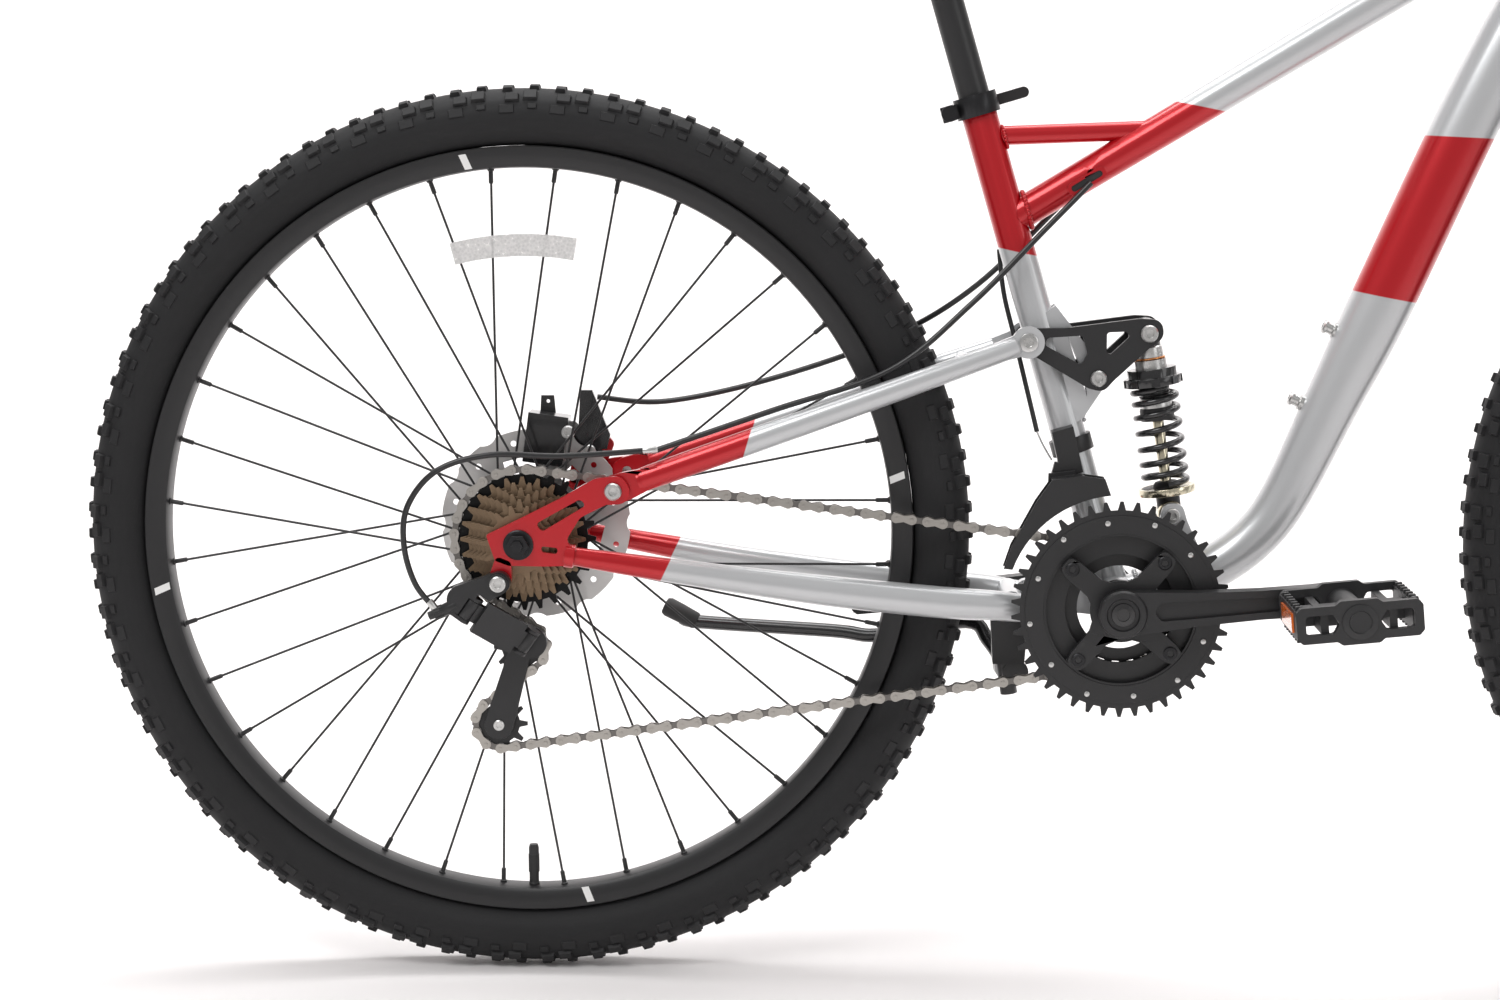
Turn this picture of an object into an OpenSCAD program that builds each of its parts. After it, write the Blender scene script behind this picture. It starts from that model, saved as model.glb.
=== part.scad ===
// Full-suspension mountain bike with 29 inch wheels, 3x7 gears and disc brakes.
// +X points to the front wheel, +Y to the rider's left, +Z up; Z = 0 is the ground.

/* [Wheels] */

// Distance between the wheel axles along the ground
wheelbase = 1130; // [1100:1:1160]
// Outer radius of both tyres over the knobs
tyre_radius = 367; // [360:1:372]
// Outer width of both tyres
tyre_width = 54; // [48:1:56]
// Radius of the top edge of the rim flanges
rim_edge_radius = 317.5; // [314:0.5:319]
// Radial height of the rim section
rim_height = 18; // [15:0.5:22]
// Outer width of the rim
rim_width = 30; // [26:1:32]
// Spokes in each wheel, in fours
spoke_count = 36; // [28:4:36]
// Diameter of one spoke
spoke_diameter = 2; // [1.8:0.1:2.3]
// Width of the rear hub between the dropouts
rear_hub_width = 135; // [135:1:137]
// Width of the front hub between the fork tips
front_hub_width = 100; // [98:1:102]
// Diameter of both axles
axle_diameter = 10; // [9:0.5:12]
// Diameter of both brake rotors
rotor_diameter = 160; // [156:1:162]
// Thickness of both brake rotors
rotor_thickness = 1.8; // [1.5:0.1:2]

/* [Frame] */

// Horizontal distance from the rear axle to the bottom bracket
bb_forward = 483; // [480:1:500]
// Height of the axles above the bottom bracket
bb_drop = 54.5; // [45:0.5:60]
// Seat tube angle from the ground
seat_angle = 74; // [73:0.5:75]
// Seat tube length from the bottom bracket to its top
seat_tube_length = 426; // [415:1:460]
// Outer diameter of the seat tube
seat_tube_diameter = 28.6; // [28:0.1:30]
// Outer diameter of the seatpost
seatpost_diameter = 25.4; // [24:0.1:26]
// Outer diameter of the top tube at the seat tube
top_tube_diameter = 26; // [24:0.5:30]
// Outer diameter of the straight part of the down tube
down_tube_diameter = 50.6; // [44:0.2:52]
// Head angle from the ground
head_angle = 70.5; // [70:0.5:71]
// Head tube length
head_tube_length = 115; // [105:1:125]
// Outer diameter of the head tube
head_tube_diameter = 40; // [38:0.5:44]
// Width of the bottom bracket shell
bb_shell_width = 68; // [68:1:70]

/* [Rear suspension] */

// Diameter of the pivot bolts
pivot_diameter = 8; // [7:0.5:9]
// Diameter of the main pivot axle
main_pivot_diameter = 12; // [10:0.5:13]
// Outer diameter of the coil spring
spring_diameter = 40; // [36:0.5:42]
// Wire diameter of the coil spring
spring_wire = 5.2; // [4:0.1:6]
// Turns of the coil spring
spring_turns = 7; // [6:1:8]
// Diameter of the shock shaft
shaft_diameter = 9; // [8:0.5:10]

/* [Drivetrain] */

// Crank arm length
crank_length = 170; // [165:1:175]
// Teeth on the outer chainring
outer_teeth = 42; // [40:1:44]
// Teeth on the middle chainring
middle_teeth = 34; // [32:1:36]
// Teeth on the inner chainring
inner_teeth = 24; // [22:1:26]
// Teeth on the largest rear cog
largest_cog = 28; // [26:1:28]
// Angle of the right crank arm above the ground
crank_angle = 4.2; // [0:0.1:6]
// Pedal body width
pedal_width = 90; // [80:1:100]
// Pedal body length
pedal_length = 96; // [90:1:104]

/* [Fork and cockpit] */

// Offset of the front axle from the steering axis
fork_offset = 45; // [40:1:50]
// Distance from the front axle to the crown race
fork_length = 498; // [490:1:510]
// Diameter of the fork stanchions
stanchion_diameter = 28; // [25:0.5:30]
// Distance between the two stanchions
stanchion_spacing = 130; // [126:1:136]
// Outer diameter of the steerer
steerer_diameter = 28.6; // [25.4:0.1:30]
// Handlebar width
handlebar_width = 680; // [640:5:740]
// Handlebar diameter at the stem
handlebar_clamp_diameter = 25.4; // [25:0.1:31.8]
// Handlebar diameter at the grips
grip_bar_diameter = 22.2; // [22:0.1:23]
// Reach of the stem
stem_length = 70; // [60:1:90]
// Saddle length
saddle_length = 270; // [255:1:285]
// Saddle width
saddle_width = 160; // [140:1:180]
// Height of the seatpost head above the seat tube, along the tube
seatpost_exposed = 190; // [140:1:220]

/* [Hidden] */

$fn = 48;
run = 0.05; // radial clearance of a running fit
gap = 0.5; // side clearance between parts that move past each other
open_run = 1.3; // clearance at the two pivots where the linkage is opened
elbow = 0.35; // how far a ball at a bend stands proud of its tube
pitch = 12.7; // chain pitch
rear = [-wheelbase / 2, tyre_radius];
front = [wheelbase / 2, tyre_radius];
bb = [rear[0] + bb_forward, tyre_radius - bb_drop];
crank_end = bb + crank_length * [cos(crank_angle), sin(crank_angle)];
crank_end_left = bb - crank_length * [cos(crank_angle), sin(crank_angle)];
dropout_in = rear_hub_width / 2;
dropout_thick = 6;
fork_tip_in = front_hub_width / 2;
fork_tip_thick = 6;
ra = axle_diameter / 2;
rp = pivot_diameter / 2;
rm = main_pivot_diameter / 2;
rst = seat_tube_diameter / 2;
rpost = seatpost_diameter / 2;
rhead = head_tube_diameter / 2;

// points along the seat tube (d up from the bottom bracket, off to the front)
function st(d, off = 0) = bb + d * [-cos(seat_angle), sin(seat_angle)]
    + off * [sin(seat_angle), cos(seat_angle)];
main_pivot = bb + [-46, 1.5];
rocker_frame = st(180.9, 34.2);
rocker_rear = st(225.2, -12.3);
rocker_front = st(204.6, 83);
shock_low = st(56.1, 62.3);
stay_pivot = rear + [76.7, 43.3];
hanger = rear + [-15.3, -29.7];

// side-to-side positions of the layers (half widths)
boss_half = 17.5;
rocker_in = 18;
rocker_out = 24.5;
stay_eye_in = 25;
stay_eye_out = 33;
pivot_shell_half = 23.5;
stay_tab_in = 24;
stay_tab_out = 35;

// steering axis: s up along it, f forward from it, both from the foot of the axle
steer_dir = [-cos(head_angle), sin(head_angle)];
steer_fwd = [sin(head_angle), cos(head_angle)];
steer_foot = front - fork_offset * steer_fwd;
function sx(s, f = 0) = steer_foot + s * steer_dir + f * steer_fwd;
crown_s = fork_length;
head_low_s = crown_s + 12;
head_top_s = head_low_s + head_tube_length;
stem_s = head_top_s + 32;
leg_forward = 30;
bar = sx(stem_s + 12, stem_length);
leg_half = stanchion_spacing / 2;

// chain line: half-width positions of the rings and cogs
ring_y = [-57, -50, -43];
ring_teeth = [outer_teeth, middle_teeth, inner_teeth];
cog_y0 = -36;
cog_step = 4.95;
cog_teeth = [largest_cog, 24, 22, 20, 18, 16, 14];
function pitch_radius(n) = pitch / 2 / sin(180 / n);
rear_disc_y = dropout_in - 15.5;
front_disc_y = fork_tip_in - 10.5;
cage_pivot = rear + [6, -84];
guide = rear + [-3, -90];
tension = rear + [-22, -154];
link_a = rear + [-40, -51];
link_angle = 34.8;
link_len = 56;
link_swing = 20.9;
link_a_y = -78;

// ---------- helpers ----------

// 3-D point from a side-view point and a side-to-side position
function at(p, y) = [p[0], y, p[1]];

// cone or rod between two 3-D points
module rod(a, b, r, r2 = undef) {
    d = b - a;
    l = norm(d);
    translate(a)
        rotate([0, acos(d[2] / l), atan2(d[1], d[0])])
            cylinder(h = l, r1 = r, r2 = r2 == undef ? r : r2);
}

// bent bar with round elbows, constant radius
module bent_rod(pts, r) {
    for (i = [0 : len(pts) - 2])
        rod(pts[i], pts[i + 1], r);
    for (i = [1 : len(pts) - 2])
        translate(pts[i])
            sphere(r + elbow);
}

// bent tube in the middle plane whose radius changes, points are [x, z, radius]
module tapered_pipe(pts) {
    for (i = [0 : len(pts) - 2])
        rod([pts[i][0], 0, pts[i][1]], [pts[i + 1][0], 0, pts[i + 1][1]], pts[i][2], pts[i + 1][2]);
    for (i = [1 : len(pts) - 2])
        translate([pts[i][0], 0, pts[i][1]])
            sphere(pts[i][2] + elbow);
}

// cylinder across the bike between two side positions
module pin(p, r, y0, y1) {
    translate([p[0], y0, p[1]])
        rotate([-90, 0, 0])
            cylinder(h = y1 - y0, r = r);
}

// flat plate across the bike from a side-view outline
module slab(pts, y0, y1) {
    translate([0, y1, 0])
        rotate([90, 0, 0])
            linear_extrude(height = y1 - y0)
                polygon(pts);
}

// corner points of the straight sides that join two circles
function tangent_quad(a, ra, b, rb) =
    let (d = b - a, base = atan2(d[1], d[0]), off = acos((ra - rb) / norm(d)))
    [a + ra * [cos(base + off), sin(base + off)], b + rb * [cos(base + off), sin(base + off)],
        b + rb * [cos(base - off), sin(base - off)], a + ra * [cos(base - off), sin(base - off)]];

// link-shaped plate with round ends
module link_plate(a, ra, b, rb, y0, y1) {
    slab(tangent_quad(a, ra, b, rb), y0, y1);
    pin(a, ra, y0, y1);
    pin(b, rb, y0, y1);
}

// puts children on a wheel axle: local z runs along +Y
module on_axle(c) {
    translate([c[0], 0, c[1]])
        rotate([-90, 0, 0])
            children();
}

// copies children to both sides of the middle plane
module both_sides() {
    children();
    mirror([0, 1, 0])
        children();
}

// toothed outline of a sprocket
module sprocket_2d(n, tip = 2.6, root = 4) {
    pr = pitch_radius(n);
    polygon([for (i = [0 : n - 1])
        for (q = [[-0.27, -root], [-0.1, tip], [0.1, tip], [0.27, -root]])
            (pr + q[1]) * [cos((i + q[0]) * 360 / n), sin((i + q[0]) * 360 / n)]]);
}

// puts children on the seat tube axis, local z along the tube
module on_seat_tube(d) {
    translate(at(st(d), 0))
        rotate([0, seat_angle - 90, 0])
            children();
}

// puts children on the steering axis, local z up along it, local x forward
module on_steerer(s, f = 0) {
    translate(at(sx(s, f), 0))
        rotate([0, head_angle - 90, 0])
            children();
}

// ---------- frame ----------

seat_tube_wall = (seat_tube_diameter - seatpost_diameter) / 2;
gusset_top = st(243, 8);
gusset_low = st(150, 8);
shell_r = 20;

module seat_tube() {
    color([0.8, 0.05, 0.08])
    difference() {
        union() {
            rod(at(bb, 0), at(st(seat_tube_length), 0), rst);
            pin(bb, shell_r, -bb_shell_width / 2, bb_shell_width / 2);
            pin(main_pivot, rm + 6, -pivot_shell_half, pivot_shell_half);
            for (y = [-18, 10])
                slab([main_pivot + [0, 14], main_pivot + [6, -10], bb + [-8, -12], st(60)], y, y + 8);
            for (y = [-12, 6])
                slab([gusset_top, gusset_top + [8, 6], rocker_frame + [7, 5], rocker_frame + [5, -9],
                    gusset_low + [6, 4], gusset_low], y, y + 6);
            pin(rocker_frame, rp + 5, -boss_half, boss_half);
        }
        pin(bb, 17, -bb_shell_width / 2 - 1, bb_shell_width / 2 + 1);
        pin(main_pivot, rm, -40, 40);
        pin(rocker_frame, rp, -40, 40);
        slab([st(222, 20), rocker_frame + [-9, -2], st(168, 22)], -20, 20);
        on_seat_tube(150)
            cylinder(h = seat_tube_length, r = rpost + run);
        on_seat_tube(seat_tube_length - 35)
            translate([-20, -1, 0])
                cube([20, 2, 40]);
    }
}

tt_start = st(322);
strut_start = st(392.7);
tt_end = sx(head_top_s - 27);
tt_dir = (tt_end - tt_start) / norm(tt_end - tt_start);
strut_end = tt_start + 142 * tt_dir;
tt_r = top_tube_diameter / 2;

module top_tube() {
    color([0.8, 0.05, 0.08])
    difference() {
        union() {
            rod(at(tt_start, 0), at(tt_start + 40 * tt_dir, 0), tt_r);
            rod(at(tt_start + 40 * tt_dir, 0), at(tt_end - 40 * tt_dir, 0), tt_r, tt_r + 3);
            rod(at(tt_end - 42 * tt_dir, 0), at(tt_end, 0), tt_r + 3.2);
            rod(at(strut_start, 0), at(strut_end, 0), 7.8);
        }
        rod(at(st(270), 0), at(st(seat_tube_length + 20), 0), rst / cos(15), $fn = 12);
        on_steerer(head_low_s - 5)
            cylinder(h = head_tube_length + 10, r = (rhead - 1.5) / cos(15), $fn = 12);
        both_sides()
            rod(at(tt_start + 78 * tt_dir, 8), at(tt_start + 72 * tt_dir, 20), 3);
    }
}

dt = [[bb[0] + 14, bb[1] + 3, 17.5], [bb[0] + 79.6, bb[1] + 25.4, 18.4],
    [bb[0] + 112, bb[1] + 49.5, 18.8], [bb[0] + 137.5, bb[1] + 84, 19.8]];
dt_straight = [[bb[0] + 211.5, bb[1] + 241.4, down_tube_diameter / 2],
    [bb[0] + 290, bb[1] + 415, down_tube_diameter / 2]];
dt_top = sx(head_low_s + 32);
dt_bend = dt_straight[1] + 0.42 * (dt_top - dt_straight[1]) - [5, -12];
dt_dir = unit2(dt_straight[1] - dt_straight[0]);
function unit2(v) = v / norm(v);
bottle_low = bb + [142.8, 164.3];
bottle_high = bb + [168.9, 222.8];
bottle_in = [cos(24.3), -sin(24.3)];

module down_tube() {
    color([0.85, 0.85, 0.85])
    difference() {
        union() {
            tapered_pipe(concat(dt, [[dt_straight[0][0], dt_straight[0][1], dt_straight[0][2]],
                [dt_straight[1][0], dt_straight[1][1], dt_straight[1][2]],
                [dt_bend[0], dt_bend[1], 22], [dt_top[0], dt_top[1], 16.8]]));
            for (y = [-20, 13.5])
                slab([shock_low + [-9, 0], shock_low + [-6, 8], shock_low + [6, 8], shock_low + [9, 0],
                    bb + [72, 28], bb + [24, 12]], y, y + 6.5);
        }
        pin(shock_low, rp, -30, 30);
        pin(bb, shell_r, -50, 50);
        rod(at(bb, 0), at(st(200), 0), rst);
        on_steerer(head_low_s - 20)
            cylinder(h = head_tube_length + 40, r = rhead - 1.5);
        for (b = [bottle_low, bottle_high])
            rod(at(b - 6 * bottle_in, 0), at(b + 20 * bottle_in, 0), 2.5);
    }
}

module head_tube() {
    color([0.8, 0.8, 0.8])
    on_steerer(head_low_s)
        difference() {
            union() {
                cylinder(h = head_tube_length, r = rhead - 1.5);
                cylinder(h = 14, r = rhead);
                translate([0, 0, head_tube_length - 14])
                    cylinder(h = 14, r = rhead);
            }
            translate([0, 0, -1])
                cylinder(h = head_tube_length + 2, r = rhead - 4);
        }
}

module bearing_cups() {
    color([0.1, 0.1, 0.1]) {
        on_steerer(head_low_s) {
            for (z = [[-9.5, 9.5], [head_tube_length, 9]])
                translate([0, 0, z[0]])
                    difference() {
                        cylinder(h = z[1], r = rhead + 1);
                        translate([0, 0, -1])
                            cylinder(h = z[1] + 2, r = steerer_diameter / 2 + run);
                    }
        }
        difference() {
            union() {
                pin(bb, 17, -bb_shell_width / 2, bb_shell_width / 2);
                both_sides()
                    pin(bb, 21, bb_shell_width / 2, bb_shell_width / 2 + 2.5);
            }
            pin(bb, 8.5 + run, -60, 60);
        }
    }
}

module frame_bolts() {
    color([0.75, 0.75, 0.75]) {
        // main pivot axle with a head and a nut
        pin(main_pivot, rm, -stay_tab_out - gap, stay_tab_out + gap);
        for (y = [-stay_tab_out - gap - 2.5, stay_tab_out + gap])
            pin(main_pivot, rm + 3, y, y + 2.5);
        // rocker pivot bolt
        pin(rocker_frame, rp, -rocker_out - gap, rocker_out + gap);
        both_sides()
            pin(rocker_frame, rp + 3, rocker_out + gap, rocker_out + gap + 3.5);
        // lower shock bolt
        pin(shock_low, rp, -20.5, 20.5);
        both_sides()
            pin(shock_low, rp + 3, 20, 24);
        // bottle cage bolts
        for (b = [bottle_low, bottle_high]) {
            rod(at(b, 0), at(b + 20 * bottle_in, 0), 2.5);
            rod(at(b - 4 * bottle_in, 0), at(b + 2 * bottle_in, 0), 4.5);
        }
    }
}

// ---------- seat ----------

collar_d = seat_tube_length - 16;

skewer = [-rst - 9, 8];
lever_y = 14;

module seat_collar() {
    color([0.05, 0.05, 0.05])
    on_seat_tube(collar_d) {
        difference() {
            union() {
                cylinder(h = 17, r = rst + 3.4);
                translate([-rst - 15, -8, 2])
                    cube([18, 16, 12]);
            }
            translate([0, 0, -1])
                cylinder(h = 17, r = rst);
            translate([0, 0, 15.9])
                cylinder(h = 2, r = rpost + 0.4);
            translate([-rst - 20, -1.5, -1])
                cube([22, 3, 20]);
        }
        // skewer with its nut on the right and an eye for the cam lever on the left
        translate([skewer[0], 0, skewer[1]])
            difference() {
                union() {
                    rotate([-90, 0, 0]) {
                        cylinder_between(-15, lever_y, 2.4);
                        cylinder_between(-15.5, -8, 6.5);
                    }
                    translate([0, lever_y, -3])
                        cylinder(h = 6, r = 3.4);
                }
                translate([0, lever_y, -10])
                    cylinder(h = 20, r = 1.6 + run);
            }
    }
}

module seat_lever() {
    color([0.05, 0.05, 0.05])
    on_seat_tube(collar_d)
        translate([skewer[0], lever_y, skewer[1]]) {
            difference() {
                union() {
                    cylinder_between(-6.5, 6.5, 5.5);
                    translate([0, 1, -4.5])
                        cube([11, 7.5, 9]);
                }
                translate([-8, -8, -3.2])
                    cube([12, 20, 6.4]);
            }
            cylinder_between(-6.5, 6.5, 1.6);
            translate([4, 4.6, -4.5])
                cube([rst + 45, 3.9, 9]);
            translate([rst + 49, 4.6, 0])
                rotate([-90, 0, 0])
                    cylinder(h = 3.9, r = 4.5);
        }
}

head_d = seat_tube_length + seatpost_exposed;
post_low = 225;

module seatpost() {
    color([0.03, 0.03, 0.03]) {
        rod(at(st(post_low), 0), at(st(head_d), 0), rpost);
        translate(at(st(head_d), 0)) {
            rotate([90, 0, 0])
                cylinder(h = 36, r = 11, center = true);
            translate([-20, -27, 6])
                cube([40, 54, 8]);
        }
    }
}

rail_z = st(head_d)[1] + 18;
saddle_x = st(head_d)[0];
rail_r = 3.5;

module saddle_rails() {
    color([0.1, 0.1, 0.1]) {
        both_sides()
            bent_rod([[saddle_x - 78, 34, rail_z + 26], [saddle_x - 48, 22, rail_z],
                [saddle_x + 45, 22, rail_z], [saddle_x + 105, 8, rail_z + 24]], rail_r);
        // clamp plates over the rails
        translate([saddle_x - 20, -30, rail_z + rail_r])
            cube([40, 60, 6]);
    }
}

module saddle() {
    color([0.04, 0.04, 0.04])
    translate([saddle_x - saddle_length * 0.44, 0, rail_z + 24])
        difference() {
            translate([0, 0, 4])
                linear_extrude(height = 34)
                    polygon([[0, -saddle_width * 0.36], [14, -saddle_width * 0.46], [40, -saddle_width / 2],
                        [75, -saddle_width * 0.46], [115, -saddle_width * 0.27],
                        [155, -saddle_width * 0.18], [saddle_length - 14, -saddle_width * 0.13],
                        [saddle_length, -saddle_width * 0.07], [saddle_length, saddle_width * 0.07],
                        [saddle_length - 14, saddle_width * 0.13], [155, saddle_width * 0.18],
                        [115, saddle_width * 0.27], [75, saddle_width * 0.46], [40, saddle_width / 2],
                        [14, saddle_width * 0.46], [0, saddle_width * 0.36]]);
        }
}

// ---------- rear triangle ----------

stay_rear_y = dropout_in + 1;
stay_mid_y = 53;
stay_tyre_y = 44.5;
stay_front_y = 34;
cs0 = rear + [38, -9.3];
cs1 = rear + [185, -32.5];
cs2 = rear + [340, -51];
cs3 = bb + [-78, -2.5];
bridge_low = bb + [-86, 2];

// outline of one dropout plate
function dropout_outline() = [rear + [-26, 8], rear + [-19, -13], rear + [-10, -15], rear + [38, -16],
    rear + [46, -4], rear + [37, 3], rear + [49, 23], rear + [73, 34], stay_pivot + [8, -10],
    stay_pivot + [13, 0], stay_pivot + [6, 12], rear + [62, 53], rear + [33, 36], rear + [5, 22]];

module dropout_plate(y0, y1) {
    difference() {
        union() {
            slab(dropout_outline(), y0, y1);
            pin(stay_pivot, 12, y0, y1);
        }
        pin(rear, ra, y0 - 1, y1 + 1);
        pin(stay_pivot, rp + run, y0 - 1, y1 + 1);
        slab([rear + [14, 18], rear + [20, 10.5], rear + [54, 32.5], rear + [49, 37]], y0 - 1, y1 + 1);
        slab([rear + [18, -1], rear + [19, -5], rear + [30, -7], rear + [31, -3]], y0 - 1, y1 + 1);
    }
}

module stay_half() {
    dropout_plate(dropout_in, dropout_in + dropout_thick);
    rod(at(cs0, stay_rear_y), at(cs1, stay_mid_y), 7.4, 11);
    translate(at(cs1, stay_mid_y))
        sphere(11 + elbow);
    rod(at(cs1, stay_mid_y), at(cs2, stay_tyre_y), 11, 13);
    translate(at(cs2, stay_tyre_y))
        sphere(13 + elbow);
    rod(at(cs2, stay_tyre_y), at(cs3, stay_front_y), 13, 12);
    translate(at(cs3, stay_front_y))
        sphere(12 + elbow);
    link_plate(main_pivot, rm + 7, cs3, 11, stay_tab_in + gap / 2, stay_tab_out);
}

module chainstays() {
    color([0.85, 0.85, 0.85])
    difference() {
        union() {
            both_sides()
                stay_half();
            pin(bridge_low, 9, -stay_front_y, stay_front_y);
            // derailleur hanger under the right dropout
            slab([rear + [-19, -8], rear + [-6, -12], hanger + [9, 0], hanger + [0, -8], hanger + [-9, 0]],
                -dropout_in - dropout_thick, -dropout_in);
            // brake tab above the left dropout
            slab([rear + [24, 27], rear + [58, 46], rear + [66, 66], rear + [58, 76], rear + [34, 70]],
                dropout_in, dropout_in + dropout_thick);
        }
        pin(main_pivot, rm + run, -60, 60);
        pin(hanger, 4.5 + run, -90, -60);
    }
}

module rear_axle() {
    color([0.12, 0.12, 0.12]) {
        pin(rear, ra, -dropout_in - 16, dropout_in + 16);
        both_sides() {
            pin(rear, ra + 6, dropout_in + dropout_thick, dropout_in + dropout_thick + 2);
            on_axle(rear)
                translate([0, 0, dropout_in + dropout_thick + 2])
                    cylinder(h = 7, r = ra + 4.2, $fn = 6);
        }
    }
}

// body of a disc calliper: p is the middle of the pads, a the angle around the axle
module calliper_block(c, y, a) {
    translate([c[0], y, c[1]])
        rotate([0, -a, 0])
            difference() {
                union() {
                    translate([52, -13, -17])
                        cube([42, 26, 34]);
                    translate([70, 0, 0])
                        rotate([-90, 0, 0])
                            translate([0, 0, -12])
                                cylinder(h = 27, r = 13);
                }
                translate([40, -rotor_thickness / 2 - 0.6, -30])
                    cube([rotor_diameter / 2 + 4 - 40, rotor_thickness + 1.2, 60]);
            }
}

module rear_calliper() {
    color([0.05, 0.05, 0.05]) {
        calliper_block(rear, rear_disc_y, 82);
        // cable stop arm and the foot that bolts to the brake tab
        slab([rear + [16, 62], rear + [60, 62], rear + [63, 74], rear + [48, 112], rear + [38, 112],
            rear + [36, 80], rear + [16, 78]], dropout_in - 8, dropout_in - 1);
        slab([rear + [32, 58], rear + [56, 58], rear + [56, 66], rear + [32, 66]],
            dropout_in - 8, dropout_in);
    }
}

calliper_arm_p = rear + [10, 71];

module rear_calliper_arm() {
    color([0.05, 0.05, 0.05])
    difference() {
        union() {
            pin(calliper_arm_p, 9, rear_disc_y + 15.2, rear_disc_y + 18);
            slab([calliper_arm_p + [-8, 3], calliper_arm_p + [8, 3], calliper_arm_p + [5, 36],
                calliper_arm_p + [-6, 36]], rear_disc_y + 15.2, rear_disc_y + 18);
        }
        pin(calliper_arm_p + [0, 31], 1.5, rear_disc_y, rear_disc_y + 30);
    }
}

kick_pivot = bb + [-88, -62];
kick_y = 26;
kick_turn = 12.4; // the pivot is turned in plan so the foot swings outwards

// puts children on the kickstand pivot, local z along its axis towards the left
module on_kick() {
    translate(at(kick_pivot, kick_y))
        rotate([0, 0, kick_turn])
            rotate([-90, 0, 0])
                children();
}

module kickstand_bracket() {
    color([0.04, 0.04, 0.04])
    difference() {
        union() {
            slab([bridge_low + [-16, -9], bridge_low + [16, -9], kick_pivot + [14, 8], kick_pivot + [-12, 8]],
                -9, 9);
            on_kick()
                cylinder_between(-33, -8, 11);
            rod(at(kick_pivot + [-2, 10], 0), at(kick_pivot + [2, -18], 0), 7);
        }
        pin(bridge_low, 9, -20, 20);
        on_kick()
            cylinder_between(-20, 0, 4 + run);
    }
}

module kickstand_leg() {
    color([0.04, 0.04, 0.04]) {
        on_kick() {
            cylinder_between(-19, -7.6, 4);
            cylinder_between(-7.6, 4, 10);
        }
        bent_rod([at(kick_pivot, kick_y), at(kick_pivot + [-30, 36], 46), at(rear + [290, -96], 54),
            at(rear + [250, -94], 64), at(rear + [136, -91], 88), at(rear + [112, -80], 92)], 6);
        rod(at(rear + [132, -90], 88.5), at(rear + [106, -77.5], 93), 8);
    }
}

ss_rear = stay_pivot + 30 * unit2(rocker_rear - stay_pivot);
ss_front = rocker_rear - 21 * unit2(rocker_rear - stay_pivot);
ss_rear_y = 60;
ss_front_y = 34;
ss_bridge = rocker_rear + [-51, -18];
ss_bridge_y = ss_front_y + (ss_rear_y - ss_front_y)
    * norm(ss_bridge - ss_front) / norm(ss_rear - ss_front);

module seatstay_half() {
    link_plate(stay_pivot, 11.5, ss_rear, 9.5, dropout_in - gap - 6, dropout_in - gap);
    rod(at(ss_rear, ss_rear_y), at(ss_front, ss_front_y), 10.4, 8.2);
    translate(at(ss_rear, ss_rear_y))
        sphere(10.4 + elbow);
    translate(at(ss_front, ss_front_y))
        sphere(8.2 + elbow);
    link_plate(ss_front, 7.4, rocker_rear, 10.5, stay_eye_in, stay_eye_out);
    // bolt to the dropout, fixed in the stay
    pin(stay_pivot, rp, dropout_in - gap - 6, dropout_in + dropout_thick + gap);
    pin(stay_pivot, rp + 4.5, dropout_in + dropout_thick + gap, dropout_in + dropout_thick + 4.5);
}

module seatstays() {
    color([0.85, 0.85, 0.85])
    difference() {
        union() {
            both_sides()
                seatstay_half();
            pin(ss_bridge, 6.5, -ss_bridge_y, ss_bridge_y);
        }
        pin(rocker_rear, rp + open_run, -60, 60);
    }
}

module rocker() {
    color([0.04, 0.04, 0.04])
    difference() {
        union() {
            both_sides() {
                link_plate(rocker_rear, 11, rocker_front, 11.5, rocker_in, rocker_out);
                link_plate(rocker_rear, 11, rocker_frame, 10.5, rocker_in, rocker_out);
                link_plate(rocker_frame, 10.5, rocker_front, 11.5, rocker_in, rocker_out);
            }
            // cross bar that ties the plates, ahead of the seat tube
            pin(rocker_front + [-24, 3], 5, -rocker_in, rocker_in);
        }
        pin(rocker_frame, rp + run, -60, 60);
        for (p = [rocker_rear, rocker_front])
            pin(p, rp, -60, 60);
        slab([rocker_rear + [20, 4], rocker_rear + [44, 5], rocker_rear + [46, -15], rocker_rear + [18, -3]],
            -30, 30);
        slab([rocker_front + [-34, -1], rocker_front + [-19, 0], rocker_front + [-32, -18]], -30, 30);
    }
}

module rocker_bolts() {
    color([0.75, 0.75, 0.75]) {
        // the rear pins carry the seatstay eyes, the front bolt the shock eye
        both_sides() {
            pin(rocker_rear, rp, rocker_in, stay_eye_out + gap);
            pin(rocker_rear, rp + 5, stay_eye_out + gap, stay_eye_out + gap + 2.5);
            pin(rocker_front, rp + 3.2, rocker_out, rocker_out + 3.5);
        }
        pin(rocker_front, rp, -rocker_out, rocker_out);
    }
}

// ---------- shock ----------

shock_len = norm(rocker_front - shock_low);
shock_tilt = atan2(rocker_front[0] - shock_low[0], rocker_front[1] - shock_low[1]);

// puts children at the lower eye with local z along the shock
module on_shock() {
    translate(at(shock_low, 0))
        rotate([0, shock_tilt, 0])
            children();
}

seat_z = 22;
collar_z = shock_len - 44;
shaft_bore = shaft_diameter / 2 + run;

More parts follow.
